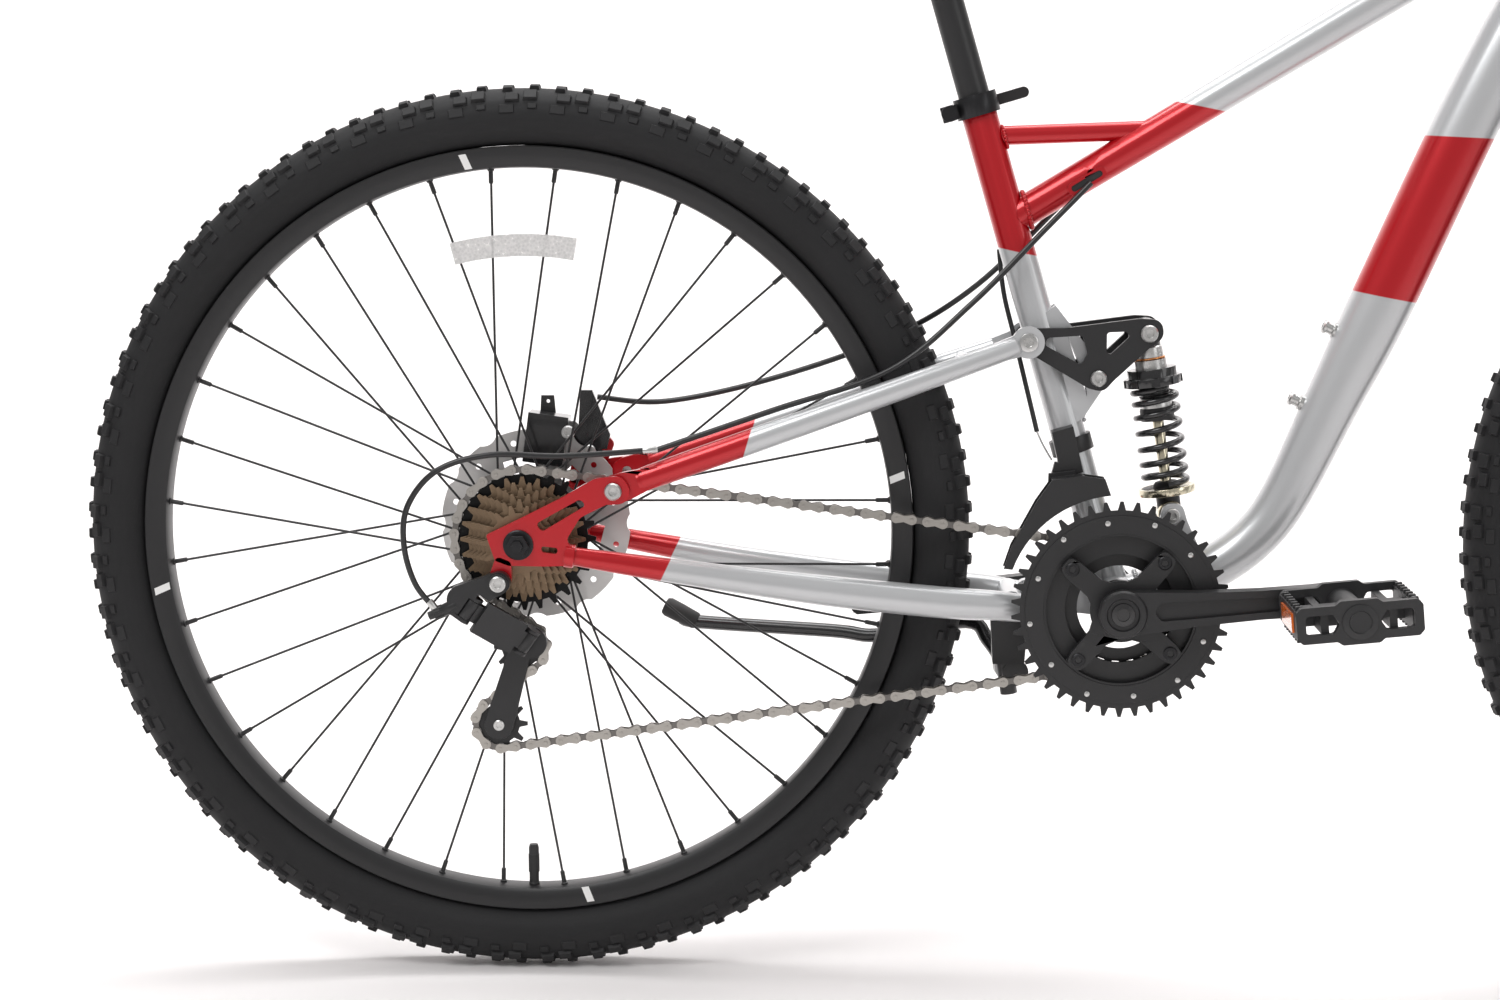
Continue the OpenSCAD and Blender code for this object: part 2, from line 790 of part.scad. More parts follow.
module shock_body() {
    color([0.05, 0.05, 0.05])
    on_shock()
        difference() {
            union() {
                translate([0, 0, shock_len])
                    rotate([90, 0, 0])
                        cylinder(h = 24, r = 11, center = true);
                translate([0, 0, shock_len - 24])
                    cylinder(h = 22, r = 10);
                translate([0, 0, 78])
                    cylinder(h = shock_len - 24 - 78, r = 12.5);
                translate([0, 0, collar_z])
                    cylinder(h = 7, r = spring_diameter / 2 + 3);
                translate([0, 0, collar_z + 7])
                    cylinder(h = 7, r = spring_diameter / 2);
            }
            translate([0, 0, shock_len])
                rotate([90, 0, 0])
                    cylinder(h = 40, r = rp + open_run, center = true);
            translate([0, 0, 70])
                cylinder(h = shock_len - 70 - 20, r = shaft_bore);
        }
}

module shock_shaft() {
    color([0.75, 0.7, 0.55])
    on_shock()
        difference() {
            union() {
                rotate([90, 0, 0])
                    cylinder(h = 27, r = 10.5, center = true);
                cylinder(h = seat_z, r = 9.5);
                translate([0, 0, seat_z - 6])
                    cylinder(h = 6, r = spring_diameter / 2 + 3);
                cylinder(h = 92, r = shaft_diameter / 2);
            }
            rotate([90, 0, 0])
                cylinder(h = 40, r = rp + run, center = true);
        }
}

function ring_pts(p, n, r, a) = [for (i = [0 : n - 1])
    p + r * [cos(a) * cos(i * 360 / n), sin(a) * cos(i * 360 / n), sin(i * 360 / n)]];

module shock_spring() {
    steps = 16;
    n = spring_turns * steps;
    r = spring_diameter / 2 - spring_wire / 2;
    low = seat_z + spring_wire / 2 + 0.05;
    high = collar_z - spring_wire / 2 - 0.05;
    rings = [for (k = [0 : n]) ring_pts([r * cos(k * 360 / steps), r * sin(k * 360 / steps),
        low + (high - low) * k / n], 8, spring_wire / 2, k * 360 / steps)];
    color([0.05, 0.05, 0.05])
    on_shock()
        polyhedron(points = [for (q = rings) for (v = q) v],
            faces = concat([[for (i = [7 : -1 : 0]) i]], [[for (i = [0 : 7]) n * 8 + i]],
                [for (k = [0 : n - 1]) for (i = [0 : 7])
                    [k * 8 + i, k * 8 + (i + 1) % 8, (k + 1) * 8 + (i + 1) % 8, (k + 1) * 8 + i]]));
}

// ---------- wheels ----------

tyre_r = tyre_width / 2;
tyre_wall = 4;
rim_wall = 3.2;

module tyre(c) {
    on_axle(c)
        rotate_extrude($fn = 96)
            difference() {
                translate([tyre_radius - tyre_r, 0])
                    circle(tyre_r);
                translate([tyre_radius - tyre_r, 0])
                    circle(tyre_r - tyre_wall);
                translate([0, -50])
                    square([rim_edge_radius, 100]);
            }
}

module rim(c) {
    w = rim_width / 2;
    r0 = rim_edge_radius - rim_height;
    r1 = rim_edge_radius;
    on_axle(c)
        difference() {
            rotate_extrude($fn = 96)
                difference() {
                    polygon([[r0, -w + 6], [r0 + 4, -w + 1.5], [r1 - 6, -w], [r1, -w], [r1, w],
                        [r1 - 6, w], [r0 + 4, w - 1.5], [r0, w - 6]]);
                    translate([r1 - 9.5, -w + rim_wall])
                        square([20, 2 * (w - rim_wall)]);
                    translate([r0 + 2.2, -w + rim_wall + 4])
                        square([rim_height - 9.5 - 4.2, 2 * (w - rim_wall - 4)]);
                }
            rotate([0, 90, 90])
                cylinder(h = rim_edge_radius, r = 4.2);
        }
}

module inner_tube(c) {
    tr = tyre_r - tyre_wall - 0.2;
    color([0.05, 0.05, 0.05])
    on_axle(c) {
        rotate_extrude($fn = 96)
            difference() {
                translate([tyre_radius - tyre_r, 0])
                    circle(tr);
                translate([tyre_radius - tyre_r, 0])
                    circle(tr - 1.5);
                translate([0, -50])
                    square([tyre_radius - tyre_r - tr + 0.5, 100]);
            }
        // valve with its cap, pointing to the hub
        rotate([0, 90, 90]) {
            translate([0, 0, rim_edge_radius - rim_height - 25])
                cylinder(h = rim_height + 27, r = 4);
            translate([0, 0, rim_edge_radius - rim_height - 26])
                cylinder(h = 15, r = 4.6);
        }
    }
}

module spokes(c, left_y, right_y, flange_r) {
    per_side = spoke_count / 2;
    step = 360 / per_side;
    rr = rim_edge_radius - rim_height + 1.5;
    for (side = [0, 1])
        for (k = [0 : per_side - 1]) {
            dir = k % 2 == 0 ? 1 : -1;
            a = k * step + side * step / 2 + step / 4;
            b = a + dir * 3 * step;
            fy = (side == 0 ? left_y : right_y) + dir * 2.9;
            ry = (side == 0 ? 3 : -3);
            rod([c[0] + flange_r * cos(b), fy, c[1] + flange_r * sin(b)],
                [c[0] + rr * cos(a), ry, c[1] + rr * sin(a)], spoke_diameter / 2);
        }
}

rear_left_flange = 24;
rear_right_flange = -20;
rear_flange_r = 25;
front_left_flange = 20;
front_right_flange = -26;
front_flange_r = 25;

module hub_shell(left_y, right_y, fr, end_l, end_r, disc_y) {
    difference() {
        union() {
            cylinder_between(end_r, end_l, 11);
            cylinder_between(right_y, left_y, 16);
            for (y = [left_y, right_y])
                cylinder_between(y - 1.7, y + 1.7, fr + 4.5);
            cylinder_between(disc_y - 4, disc_y - rotor_thickness / 2, 22);
            cylinder_between(left_y, disc_y - 4, 15);
            cylinder_between(disc_y - 4, disc_y + 2.5, 16.9);
        }
        cylinder_between(-90, 90, ra + run);
    }
}

// cylinder along the axle between two side positions
module cylinder_between(y0, y1, r) {
    translate([0, 0, y0])
        cylinder(h = y1 - y0, r = r);
}

module rotor(c, y) {
    r = rotor_diameter / 2;
    on_axle(c)
        translate([0, 0, y - rotor_thickness / 2])
            difference() {
                cylinder(h = rotor_thickness, r = r, $fn = 96);
                translate([0, 0, -1])
                    cylinder(h = 5, r = 17);
                for (i = [0 : 11])
                    rotate(i * 30)
                        translate([r + 9, 0, -1])
                            cylinder(h = 5, r = 12);
                for (i = [0 : 5])
                    rotate(i * 60 + 15) {
                        translate([42, -13, -1])
                            cube([15, 26, 5]);
                        translate([r - 10, 0, -1])
                            cylinder(h = 5, r = 2.5);
                        rotate(30)
                            translate([r - 12, 0, -1])
                                cylinder(h = 5, r = 2.5);
                    }
            }
}

module rear_tyre() {
    color([0.06, 0.06, 0.06])
    tyre(rear);
}

module rear_rim() {
    color([0.05, 0.05, 0.05])
    rim(rear);
}

module rear_tube() {
    inner_tube(rear);
}

module rear_spokes() {
    color([0.05, 0.05, 0.05])
    spokes(rear, rear_left_flange, rear_right_flange, rear_flange_r);
}

module rear_hub() {
    color([0.05, 0.05, 0.05])
    on_axle(rear) {
        hub_shell(rear_left_flange, rear_right_flange, rear_flange_r,
            dropout_in - gap, -dropout_in + gap, rear_disc_y);
        difference() {
            cylinder_between(-64, rear_right_flange, 17);
            cylinder_between(-90, 90, ra + run);
        }
    }
}

module rear_rotor() {
    color([0.7, 0.7, 0.7])
    rotor(rear, rear_disc_y);
}

module cassette() {
    color([0.35, 0.25, 0.18])
    on_axle(rear)
        difference() {
            union() {
                for (i = [0 : 6])
                    translate([0, 0, cog_y0 - cog_step * i - 0.95])
                        linear_extrude(height = 1.9)
                            sprocket_2d(cog_teeth[i]);
                cylinder_between(cog_y0 - cog_step * 6, cog_y0, 23);
            }
            cylinder_between(-90, 0, 17 + run);
        }
}

module front_tyre() {
    color([0.06, 0.06, 0.06])
    tyre(front);
}

module front_rim() {
    color([0.05, 0.05, 0.05])
    rim(front);
}

module front_tube() {
    inner_tube(front);
}

module front_spokes() {
    color([0.05, 0.05, 0.05])
    spokes(front, front_left_flange, front_right_flange, front_flange_r);
}

module front_hub() {
    color([0.05, 0.05, 0.05])
    on_axle(front)
        hub_shell(front_left_flange, front_right_flange, front_flange_r,
            fork_tip_in - gap, -fork_tip_in + gap, front_disc_y);
}

module front_rotor() {
    color([0.7, 0.7, 0.7])
    rotor(front, front_disc_y);
}

// ---------- drivetrain ----------

crank_in = 66;
crank_out = 80;
arm_dir = [cos(crank_angle), sin(crank_angle)];

module crank_arm(e, y0, y1) {
    link_plate(bb, 17, bb + 46 * unit2(e - bb), 13.5, y0, y1);
    link_plate(bb + 46 * unit2(e - bb), 13.5, e, 12.5, y0 + 1, y1 + 3);
}

module crank_right() {
    color([0.05, 0.05, 0.05])
    difference() {
        union() {
            crank_arm(crank_end, -crank_out, -crank_in);
            pin(bb, 8.5, -crank_in, crank_in);
            pin(bb, 22, -crank_in - 2, -crank_in + 5);
            pedal_axle(crank_end, -1);
            for (i = [0 : 3])
                link_plate(bb + 15 * [cos(45 + crank_angle + i * 90), sin(45 + crank_angle + i * 90)], 12,
                    bb + 52 * [cos(45 + crank_angle + i * 90), sin(45 + crank_angle + i * 90)], 7.5,
                    -crank_in, -crank_in + 5);
        }
        for (i = [0 : 3])
            pin(bb + 52 * [cos(45 + crank_angle + i * 90), sin(45 + crank_angle + i * 90)], 4, -70, -58);
    }
}

module crank_left() {
    color([0.05, 0.05, 0.05]) {
        mirror([0, 1, 0])
            crank_arm(crank_end_left, -crank_out, -crank_in);
        pedal_axle(crank_end_left, 1);
    }
}

module chainrings() {
    color([0.05, 0.05, 0.05]) {
        for (i = [0 : 2])
            translate([bb[0], ring_y[i] - 1, bb[1]])
                rotate([-90, 0, 0])
                    rotate(-crank_angle)
                        difference() {
                            linear_extrude(height = 2)
                                sprocket_2d(ring_teeth[i], 2.8, 4.2);
                            translate([0, 0, -1])
                                cylinder(h = 4, r = [60, 44, 34][i]);
                        }
        // tabs, spacers and bolts that tie the rings together
        for (i = [0 : 3]) {
            d = [cos(45 + crank_angle + i * 90), sin(45 + crank_angle + i * 90)];
            link_plate(bb + 52 * d, 7, bb + 65 * d, 5, ring_y[0] - 0.8, ring_y[0] + 0.8);
            pin(bb + 52 * d, 4, -crank_in - 1, ring_y[1] + 1.5);
            pin(bb + 52 * d, 6.3, ring_y[0] + 0.5, ring_y[1] - 0.5);
            link_plate(bb + 39 * d, 5, bb + 52 * d, 6, ring_y[1] + 0.6, ring_y[1] + 2);
            pin(bb + 39 * d, 3.4, ring_y[1] + 1, ring_y[2] + 1);
        }
    }
}

pedal_tilt = 5.3;
pedal_gap = 8;

// a caged pedal around its own axle, middle plane at half its width
module pedal_body(c, sign) {
    y0 = crank_out + 3 + pedal_gap;
    l = pedal_length / 2;
    translate([c[0], sign * (y0 + pedal_width / 2), c[1]])
        rotate([0, -pedal_tilt, 0])
            difference() {
                union() {
                    translate([-l, -pedal_width / 2, -14])
                        cube([pedal_length, 9, 28]);
                    translate([-l, pedal_width / 2 - 9, -14])
                        cube([pedal_length, 9, 28]);
                    translate([-l, -pedal_width / 2, -14])
                        cube([9, pedal_width, 28]);
                    translate([l - 9, -pedal_width / 2, -14])
                        cube([9, pedal_width, 28]);
                    rotate([90, 0, 0])
                        cylinder(h = pedal_width, r = 12.5, center = true);
                    translate([-l, -7, -9])
                        cube([pedal_length, 14, 18]);
                }
                rotate([90, 0, 0])
                    cylinder(h = pedal_width + 2, r = 6 + run, center = true);
            }
}

// pedal axle, screwed into the crank arm
module pedal_axle(c, sign) {
    y0 = sign > 0 ? crank_in + 1 : -(crank_out + 3 + pedal_gap + pedal_width - 3);
    y1 = sign > 0 ? crank_out + 3 + pedal_gap + pedal_width - 3 : -crank_in - 1;
    pin(c, 6, y0, y1);
}

module pedal_right() {
    color([0.04, 0.04, 0.04])
    pedal_body(crank_end, -1);
}

module pedal_left() {
    color([0.04, 0.04, 0.04])
    pedal_body(crank_end_left, 1);
}

// the chain: two rows of side plates on the pitch line, tied by pins on the straight runs
chain_half = 2.5;
plate_thick = 1.1;
plate_half = 4.1;
pulley_r = pitch_radius(10);
rear_r = pitch_radius(cog_teeth[0]);
ring_r = pitch_radius(inner_teeth);
function dir2(a) = [cos(a), sin(a)];
function heading(a, b) = atan2(b[1] - a[1], b[0] - a[0]);
top_angle = heading(bb, rear) - acos((ring_r - rear_r) / norm(rear - bb));
cog_off = heading(rear, guide) - acos((rear_r + pulley_r) / norm(guide - rear));
guide_off = heading(guide, tension) + acos(2 * pulley_r / norm(tension - guide));
low_angle = heading(tension, bb) - acos((pulley_r - ring_r) / norm(bb - tension));

// wrap of the chain around a wheel, world angles measured from +X towards +Z
module chain_wrap(c, y, r, a0, a1) {
    for (s = [-chain_half - plate_thick, chain_half])
        translate([c[0], y + s, c[1]])
            rotate([-90, 0, 0])
                rotate(-a1)
                    rotate_extrude(angle = a1 - a0, $fn = 72)
                        translate([r - plate_half, 0])
                            square([2 * plate_half, plate_thick]);
}

// straight run between two side-view points with their own side positions
module chain_run(a, ya, b, yb) {
    flat = norm(b - a);
    yaw = atan2(yb - ya, flat);
    l = flat / cos(yaw);
    translate(at(a, ya))
        rotate([0, -heading(a, b), 0])
            rotate(yaw) {
                for (s = [-chain_half - plate_thick, chain_half])
                    translate([-2, s + 0.1, 0.2 - plate_half])
                        cube([l + 4, plate_thick - 0.2, 2 * plate_half - 0.4]);
                for (x = [2 * pitch : 2 * pitch : l - 2 * pitch])
                    translate([x, -chain_half - 0.5, 0])
                        rotate([-90, 0, 0])
                            cylinder(h = 2 * chain_half + 1, r = 1.9, $fn = 24);
            }
}

module chain() {
    color([0.6, 0.6, 0.58]) {
        chain_wrap(bb, ring_y[2], ring_r, low_angle, top_angle);
        chain_wrap(rear, cog_y0, rear_r, top_angle, cog_off + 360);
        chain_wrap(guide, cog_y0, pulley_r, guide_off, cog_off + 180);
        chain_wrap(tension, cog_y0, pulley_r, guide_off + 180, low_angle + 360);
        chain_run(bb + ring_r * dir2(top_angle), ring_y[2], rear + rear_r * dir2(top_angle), cog_y0);
        chain_run(tension + pulley_r * dir2(low_angle), cog_y0, bb + ring_r * dir2(low_angle), ring_y[2]);
        chain_run(rear + rear_r * dir2(cog_off), cog_y0, guide - pulley_r * dir2(cog_off), cog_y0);
        chain_run(guide + pulley_r * dir2(guide_off), cog_y0, tension - pulley_r * dir2(guide_off), cog_y0);
    }
}

// ---------- front derailleur ----------

fd_in = 32;
cage_inner = -36.5;
cage_outer = -52;
cage_r = pitch_radius(outer_teeth) + 7;

module front_derailleur_mount() {
    color([0.05, 0.05, 0.05])
    difference() {
        union() {
            on_seat_tube(126)
                cylinder(h = 13, r = rst + 3);
            slab([st(112, -16), st(112, 2), st(150, 4), st(150, -14)], -fd_in, -13);
            slab([st(96, -36), st(100, -20), st(122, -8), st(126, -18)], -fd_in, -fd_in + 8);
        }
        rod(at(bb, 0), at(st(300), 0), rst);
    }
}

function cage_outline() = concat(
    [for (a = [95 : 5 : 160]) bb + cage_r * dir2(a)],
    [bb + (cage_r + 7) * dir2(161), bb + (cage_r + 9) * dir2(150), bb + (cage_r + 12) * dir2(138),
        bb + (cage_r + 18) * dir2(128), bb + (cage_r + 26) * dir2(118), bb + (cage_r + 20) * dir2(106),
        bb + (cage_r + 14) * dir2(97)]);

module front_derailleur_cage() {
    color([0.05, 0.05, 0.05]) {
        slab(cage_outline(), cage_outer, cage_outer + 1.4);
        slab(cage_outline(), cage_inner, cage_inner + 1.4);
        slab([bb + (cage_r + 16) * dir2(104), bb + (cage_r + 20) * dir2(106), bb + (cage_r + 26) * dir2(118),
            bb + (cage_r + 22) * dir2(118)], cage_outer, cage_inner + 1.4);
        slab([bb + (cage_r + 1) * dir2(158), bb + (cage_r + 6) * dir2(160), bb + (cage_r + 6) * dir2(156),
            bb + (cage_r + 1) * dir2(155)], cage_outer, cage_inner + 1.4);
        slab([bb + (cage_r + 12) * dir2(124), bb + (cage_r + 8) * dir2(110), bb + (cage_r + 24) * dir2(108),
            bb + (cage_r + 30) * dir2(118)], cage_inner, -fd_in - gap);
    }
}

// ---------- rear derailleur ----------

// puts children on the outer link's first pin, local x along the link in side view, z on the pin
module on_link() {
    translate(at(link_a, link_a_y))
        rotate([0, link_angle, 0])
            children();
}

link_b_local = link_len * [cos(link_swing), sin(link_swing), 0];
fork_z = 8.5;

module link_fork(y1) {
    for (z = [-fork_z - 3, fork_z])
        translate([0, 0, z]) {
            cylinder(h = 3, r = 6.5);
            translate([-6.5, 0, 0])
                cube([13, y1, 3]);
        }
    translate([0, 0, -fork_z - 3])
        cylinder(h = 2 * fork_z + 6, r = 2);
}

module derailleur_knuckle() {
    color([0.05, 0.05, 0.05]) {
        difference() {
            union() {
                link_plate(hanger, 9, link_a + [-5, 8], 12, -dropout_in - dropout_thick - 11,
                    -dropout_in - dropout_thick - gap);
                pin(hanger, 4.5, -dropout_in - dropout_thick - 12, -dropout_in - 0.5);
                pin(hanger, 8, -dropout_in - dropout_thick - 14, -dropout_in - dropout_thick - 10);
                // barrel adjuster seat
                rod(at(link_a + [-10, 4], -80), at(link_a + [-22, -2], -80), 5);
            }
            on_link() {
                translate([0, 0, -fork_z])
                    cylinder(h = 2 * fork_z, r = 8);
                translate([0, -30, -fork_z - 7])
                    cube([40, 60, 2 * fork_z + 14]);
            }
        }
        on_link()
            difference() {
                for (z = [-fork_z - 3, fork_z])
                    translate([0, 0, z]) {
                        cylinder(h = 3, r = 6.5);
                        translate([-11, -6, 0])
                            cube([11, 12, 3]);
                    }
                translate([0, 0, -20])
                    cylinder(h = 40, r = 2);
            }
        on_link()
            translate([0, 0, -fork_z - 3])
                cylinder(h = 2 * fork_z + 6, r = 2);
    }
}

module derailleur_link() {
    color([0.05, 0.05, 0.05])
    on_link()
        difference() {
            union() {
                for (p = [[0, 0, 0], link_b_local])
                    translate(p + [0, 0, -fork_z + gap])
                        cylinder(h = 2 * (fork_z - gap), r = 6.5);
                rotate(link_swing) {
                    translate([1.5, -5, -fork_z + gap + 0.3])
                        cube([link_len - 3, 9, 2 * (fork_z - gap) - 0.6]);
                    translate([9, -9, -14])
                        cube([link_len - 18, 5.5, 28]);
                }
            }
            for (p = [[0, 0, 0], link_b_local])
                translate(p + [0, 0, -20])
                    cylinder(h = 40, r = 2 + run);
        }
}

module derailleur_p_knuckle() {
    color([0.05, 0.05, 0.05]) {
        on_link()
            translate(link_b_local)
                link_fork(10);
        pin(cage_pivot, 13, -50, -44);
        pin(cage_pivot, 4, -44, -41);
    }
}

module derailleur_cage() {
    color([0.05, 0.05, 0.05])
    difference() {
        union() {
            link_plate(guide, 9, tension, 12, -43.4, -41.6);
            link_plate(cage_pivot, 10, guide, 9, -43.4, -41.6);
            link_plate(guide, 8, tension, 10, -30.4, -28.6);
            for (p = [guide, tension])
                pin(p, 2.4, -42, -30);
        }
        pin(cage_pivot, 4 + run, -50, -40);
    }
}

module pulley(c) {
    on_axle(c)
        difference() {
            union() {
                translate([0, 0, cog_y0 - 1])
                    linear_extrude(height = 2)
                        sprocket_2d(10, 2.4, 4);
                cylinder_between(cog_y0 - 4.8, cog_y0 + 4.8, 6);
            }
            cylinder_between(-60, 0, 2.4 + run);
        }
}

module guide_pulley() {
    color([0.04, 0.04, 0.04])
    pulley(guide);
}

module tension_pulley() {
    color([0.04, 0.04, 0.04])
    pulley(tension);
}

// ---------- fork ----------

rs = stanchion_diameter / 2;
crown_low = crown_s - 40;
lower_top = crown_low - 108;
lower_r = rs + 5;

module fork_upper() {
    color([0.1, 0.1, 0.1])
    union() {
        on_steerer(crown_s - 30)
            cylinder(h = stem_s + 42 - crown_s + 30, r = steerer_diameter / 2);
        on_steerer(crown_s - 9)
            cylinder(h = 11.4, r = rhead - 2);
        on_steerer(crown_low)
            translate([-18, -leg_half, 0])
                cube([leg_forward + 30, 2 * leg_half, 32]);
        for (y = [-leg_half, leg_half])
            on_steerer(crown_low, leg_forward) {
                translate([0, y, 0])
                    cylinder(h = 38, r = rs + 5);
                translate([0, y, -crown_low + 190])
                    cylinder(h = crown_low - 170, r = rs);
            }
    }
}

module fork_lowers() {
    color([0.05, 0.05, 0.05])
    difference() {
        union() {
            for (y = [-leg_half, leg_half]) {
                on_steerer(48, leg_forward)
                    translate([0, y, 0])
                        cylinder(h = lower_top - 48, r = lower_r);
                on_steerer(lower_top - 26, leg_forward)
                    translate([0, y, 0])
                        cylinder(h = 26, r = lower_r + 2);
            }
            // tips that hold the axle
            both_sides()
                link_plate(front, 13, sx(64, leg_forward), 15, fork_tip_in, fork_tip_in + fork_tip_thick);
            // arch over the tyre, ahead of the crown
            bent_rod([at(sx(lower_top - 10, leg_forward + 22), -leg_half + 6),
                at(sx(lower_top + 42, leg_forward + 24), -34), at(sx(lower_top + 42, leg_forward + 24), 34),
                at(sx(lower_top - 10, leg_forward + 22), leg_half - 6)], 7.5);
            // brake post
            slab([sx(20, leg_forward - 4), sx(96, leg_forward - 4), sx(86, leg_forward - 42),
                sx(50, leg_forward - 46)], fork_tip_in, fork_tip_in + 7);
        }
        for (y = [-leg_half, leg_half])
            on_steerer(100, leg_forward)
                translate([0, y, 0])
                    cylinder(h = lower_top, r = rs + run);
        pin(front, ra, -80, 80);
    }
    color([0.1, 0.1, 0.1]) {
        pin(front, ra, -fork_tip_in - 14, fork_tip_in + 14);
        both_sides()
            on_axle(front)
                translate([0, 0, fork_tip_in + fork_tip_thick])
                    cylinder(h = 7, r = ra + 4.2, $fn = 6);
    }
}

module front_calliper() {
    color([0.05, 0.05, 0.05])
    difference() {
        calliper_block(front, front_disc_y, 160);
        // flat face that lies against the fork's brake post
        translate([front[0] - 150, fork_tip_in - run, front[1] - 60])
            cube([200, 40, 160]);
    }
}

// ---------- cockpit ----------

bar_up = 28;
bar_sweep = 8;
half_bar = handlebar_width / 2;
grip_root = [bar[0] - 4, 140, bar[1] + bar_up];
grip_dir = [-sin(bar_sweep), cos(bar_sweep), 0];
grip_len = half_bar - 140;
rg = grip_bar_diameter / 2;
rc = handlebar_clamp_diameter / 2;

// puts children on the left end of the bar: local y outward, x forward and down
module on_grip() {
    translate(grip_root)
        rotate(bar_sweep)
            rotate([0, 35, 0])
                children();
}

module stem() {
    color([0.05, 0.05, 0.05])
    difference() {
        union() {
            on_steerer(stem_s)
                cylinder(h = 40, r = steerer_diameter / 2 + 4.5);
            on_steerer(head_top_s + 9.3)
                cylinder(h = stem_s - head_top_s - 9.3, r = steerer_diameter / 2 + 3);
            rod(at(sx(stem_s + 18, 8), 0), at(bar, 0), 15, 14);
            pin(bar, rc + 5, -23, 23);
        }
        on_steerer(stem_s - 60)
            cylinder(h = 140, r = steerer_diameter / 2 + 0.02);
        pin(bar, rc + 0.02, -40, 40);
    }
    color([0.1, 0.1, 0.1])
    on_steerer(stem_s + 42)
        cylinder(h = 4, r = steerer_diameter / 2 + 3);
}

module handlebar() {
    color([0.05, 0.05, 0.05])
    union() {
        pin(bar, rc, -60, 60);
        both_sides() {
            translate([bar[0], 60, bar[1]])
                sphere(rc + elbow);
            rod([bar[0], 60, bar[1]], grip_root, rc, rg);
            translate(grip_root)
                sphere(rg + elbow);
            rod(grip_root, grip_root + grip_len * grip_dir, rg);
        }
    }
}

module grips() {
    color([0.04, 0.04, 0.04])
    both_sides()
        difference() {
            rod(grip_root + 68 * grip_dir, grip_root + (grip_len + 3) * grip_dir, 16);
            rod(grip_root - 10 * grip_dir, grip_root + grip_len * grip_dir, rg);
        }
}

module lever_clamps() {
    color([0.04, 0.04, 0.04])
    both_sides()
        on_grip()
            difference() {
                union() {
                    // brake lever clamp with its forked end
                    translate([0, 6, 0])
                        rotate([-90, 0, 0])
                            cylinder(h = 14, r = rg + 5);
                    translate([rg + 2, 6, -9])
                        cube([27 - rg, 14, 18]);
                    for (z = [-9, 5.5]) {
                        translate([22, 6, z])
                            cube([14, 20, 3.5]);
                        translate([31, 27, z])
                            cylinder(h = 3.5, r = 6);
                    }
                    // shifter pod under the bar
                    translate([0, 30, 0])
                        rotate([-90, 0, 0])
                            cylinder(h = 12, r = rg + 4.5);
                    translate([-6, 28, -34])
                        cube([22, 34, 20]);
                    translate([-40, 40, -30])
                        cube([40, 12, 5]);
                }
                translate([0, -10, 0])
                    rotate([-90, 0, 0])
                        cylinder(h = 120, r = rg);
                translate([31, 27, -20])
                    cylinder(h = 40, r = 2.5 + run);
                translate([25.5, 20.5, -5.5])
                    cube([20, 20, 11]);
            }
}

module lever_blade() {
    on_grip()
        union() {
            translate([31, 27, -9])
                cylinder(h = 18, r = 2.5);
            translate([0, 0, -5])
                linear_extrude(height = 10)
                    union() {
                        translate([31, 27])
                            circle(5.5);
                        polygon([[33, 21], [48, 36], [58, 56], [60, 80], [60, 132], [64, 140], [70, 138],
                            [70, 80], [67, 50], [56, 28], [40, 18]]);
                    }
        }
}

module brake_lever_left() {
    color([0.04, 0.04, 0.04])
    lever_blade();
}

module brake_lever_right() {
    color([0.04, 0.04, 0.04])
    mirror([0, 1, 0])
        lever_blade();
}

// ---------- cables, held by the frame, the stays and the handlebar ----------

function spline(p0, p1, p2, p3, t) = 0.5 * (2 * p1 + (p2 - p0) * t
    + (2 * p0 - 5 * p1 + 4 * p2 - p3) * t * t + (3 * p1 - p0 - 3 * p2 + p3) * t * t * t);
function pick(p, i) = p[max(0, min(len(p) - 1, i))];
function smooth(p) = concat([for (i = [0 : len(p) - 2]) for (t = [0, 0.5])
    spline(pick(p, i - 1), p[i], p[i + 1], pick(p, i + 2), t)], [p[len(p) - 1]]);
function unit3(v) = v / norm(v);

// round cable along a smooth curve, ref is a direction that the cable never follows
module cable(route, r, ref) {
    c = smooth(route);
    n = len(c);
    rings = [for (k = [0 : n - 1])
        let (t = unit3(pick(c, k + 1) - pick(c, k - 1)), u = unit3(cross(ref, t)), v = cross(t, u))
        for (i = [0 : 7]) c[k] + r * (u * cos(i * 45) + v * sin(i * 45))];
    polyhedron(points = rings,
        faces = concat([[for (i = [0 : 7]) i]], [[for (i = [7 : -1 : 0]) (n - 1) * 8 + i]],
            [for (k = [0 : n - 2]) for (i = [0 : 7])
                [k * 8 + i, (k + 1) * 8 + i, (k + 1) * 8 + (i + 1) % 8, k * 8 + (i + 1) % 8]]));
}

// route points: [x, z] ahead of and above an anchor point, then the side position
function route(anchor, pts) = [for (p = pts) [anchor[0] + p[0], p[2], anchor[1] + p[1]]];

cable_r = 2.4;
gear_loop = [[110, 76, -66], [36, 72, -76], [-20, 74, -84], [-62, 62, -88], [-86, 34, -88],
    [-90, 2, -87], [-82, -30, -84], [-66, -52, -80]];
gear_run = [[-376, 128, -58], [-280, 160, -48], [-185, 192, -40], [-120, 244, -30], [-60, 304, -22],
    [-24, 340, -15.5]];
brake_run = [[52, 106, 63], [110, 102, 66], [200, 122, 56], [300, 158, 44], [370, 202, 24],
    [440, 270, 20], [462, 290, 15.5]];
front_gear_run = [[-96, 286, 12], [-92, 250, 8], [-82, 208, -4], [-66, 140, -22]];
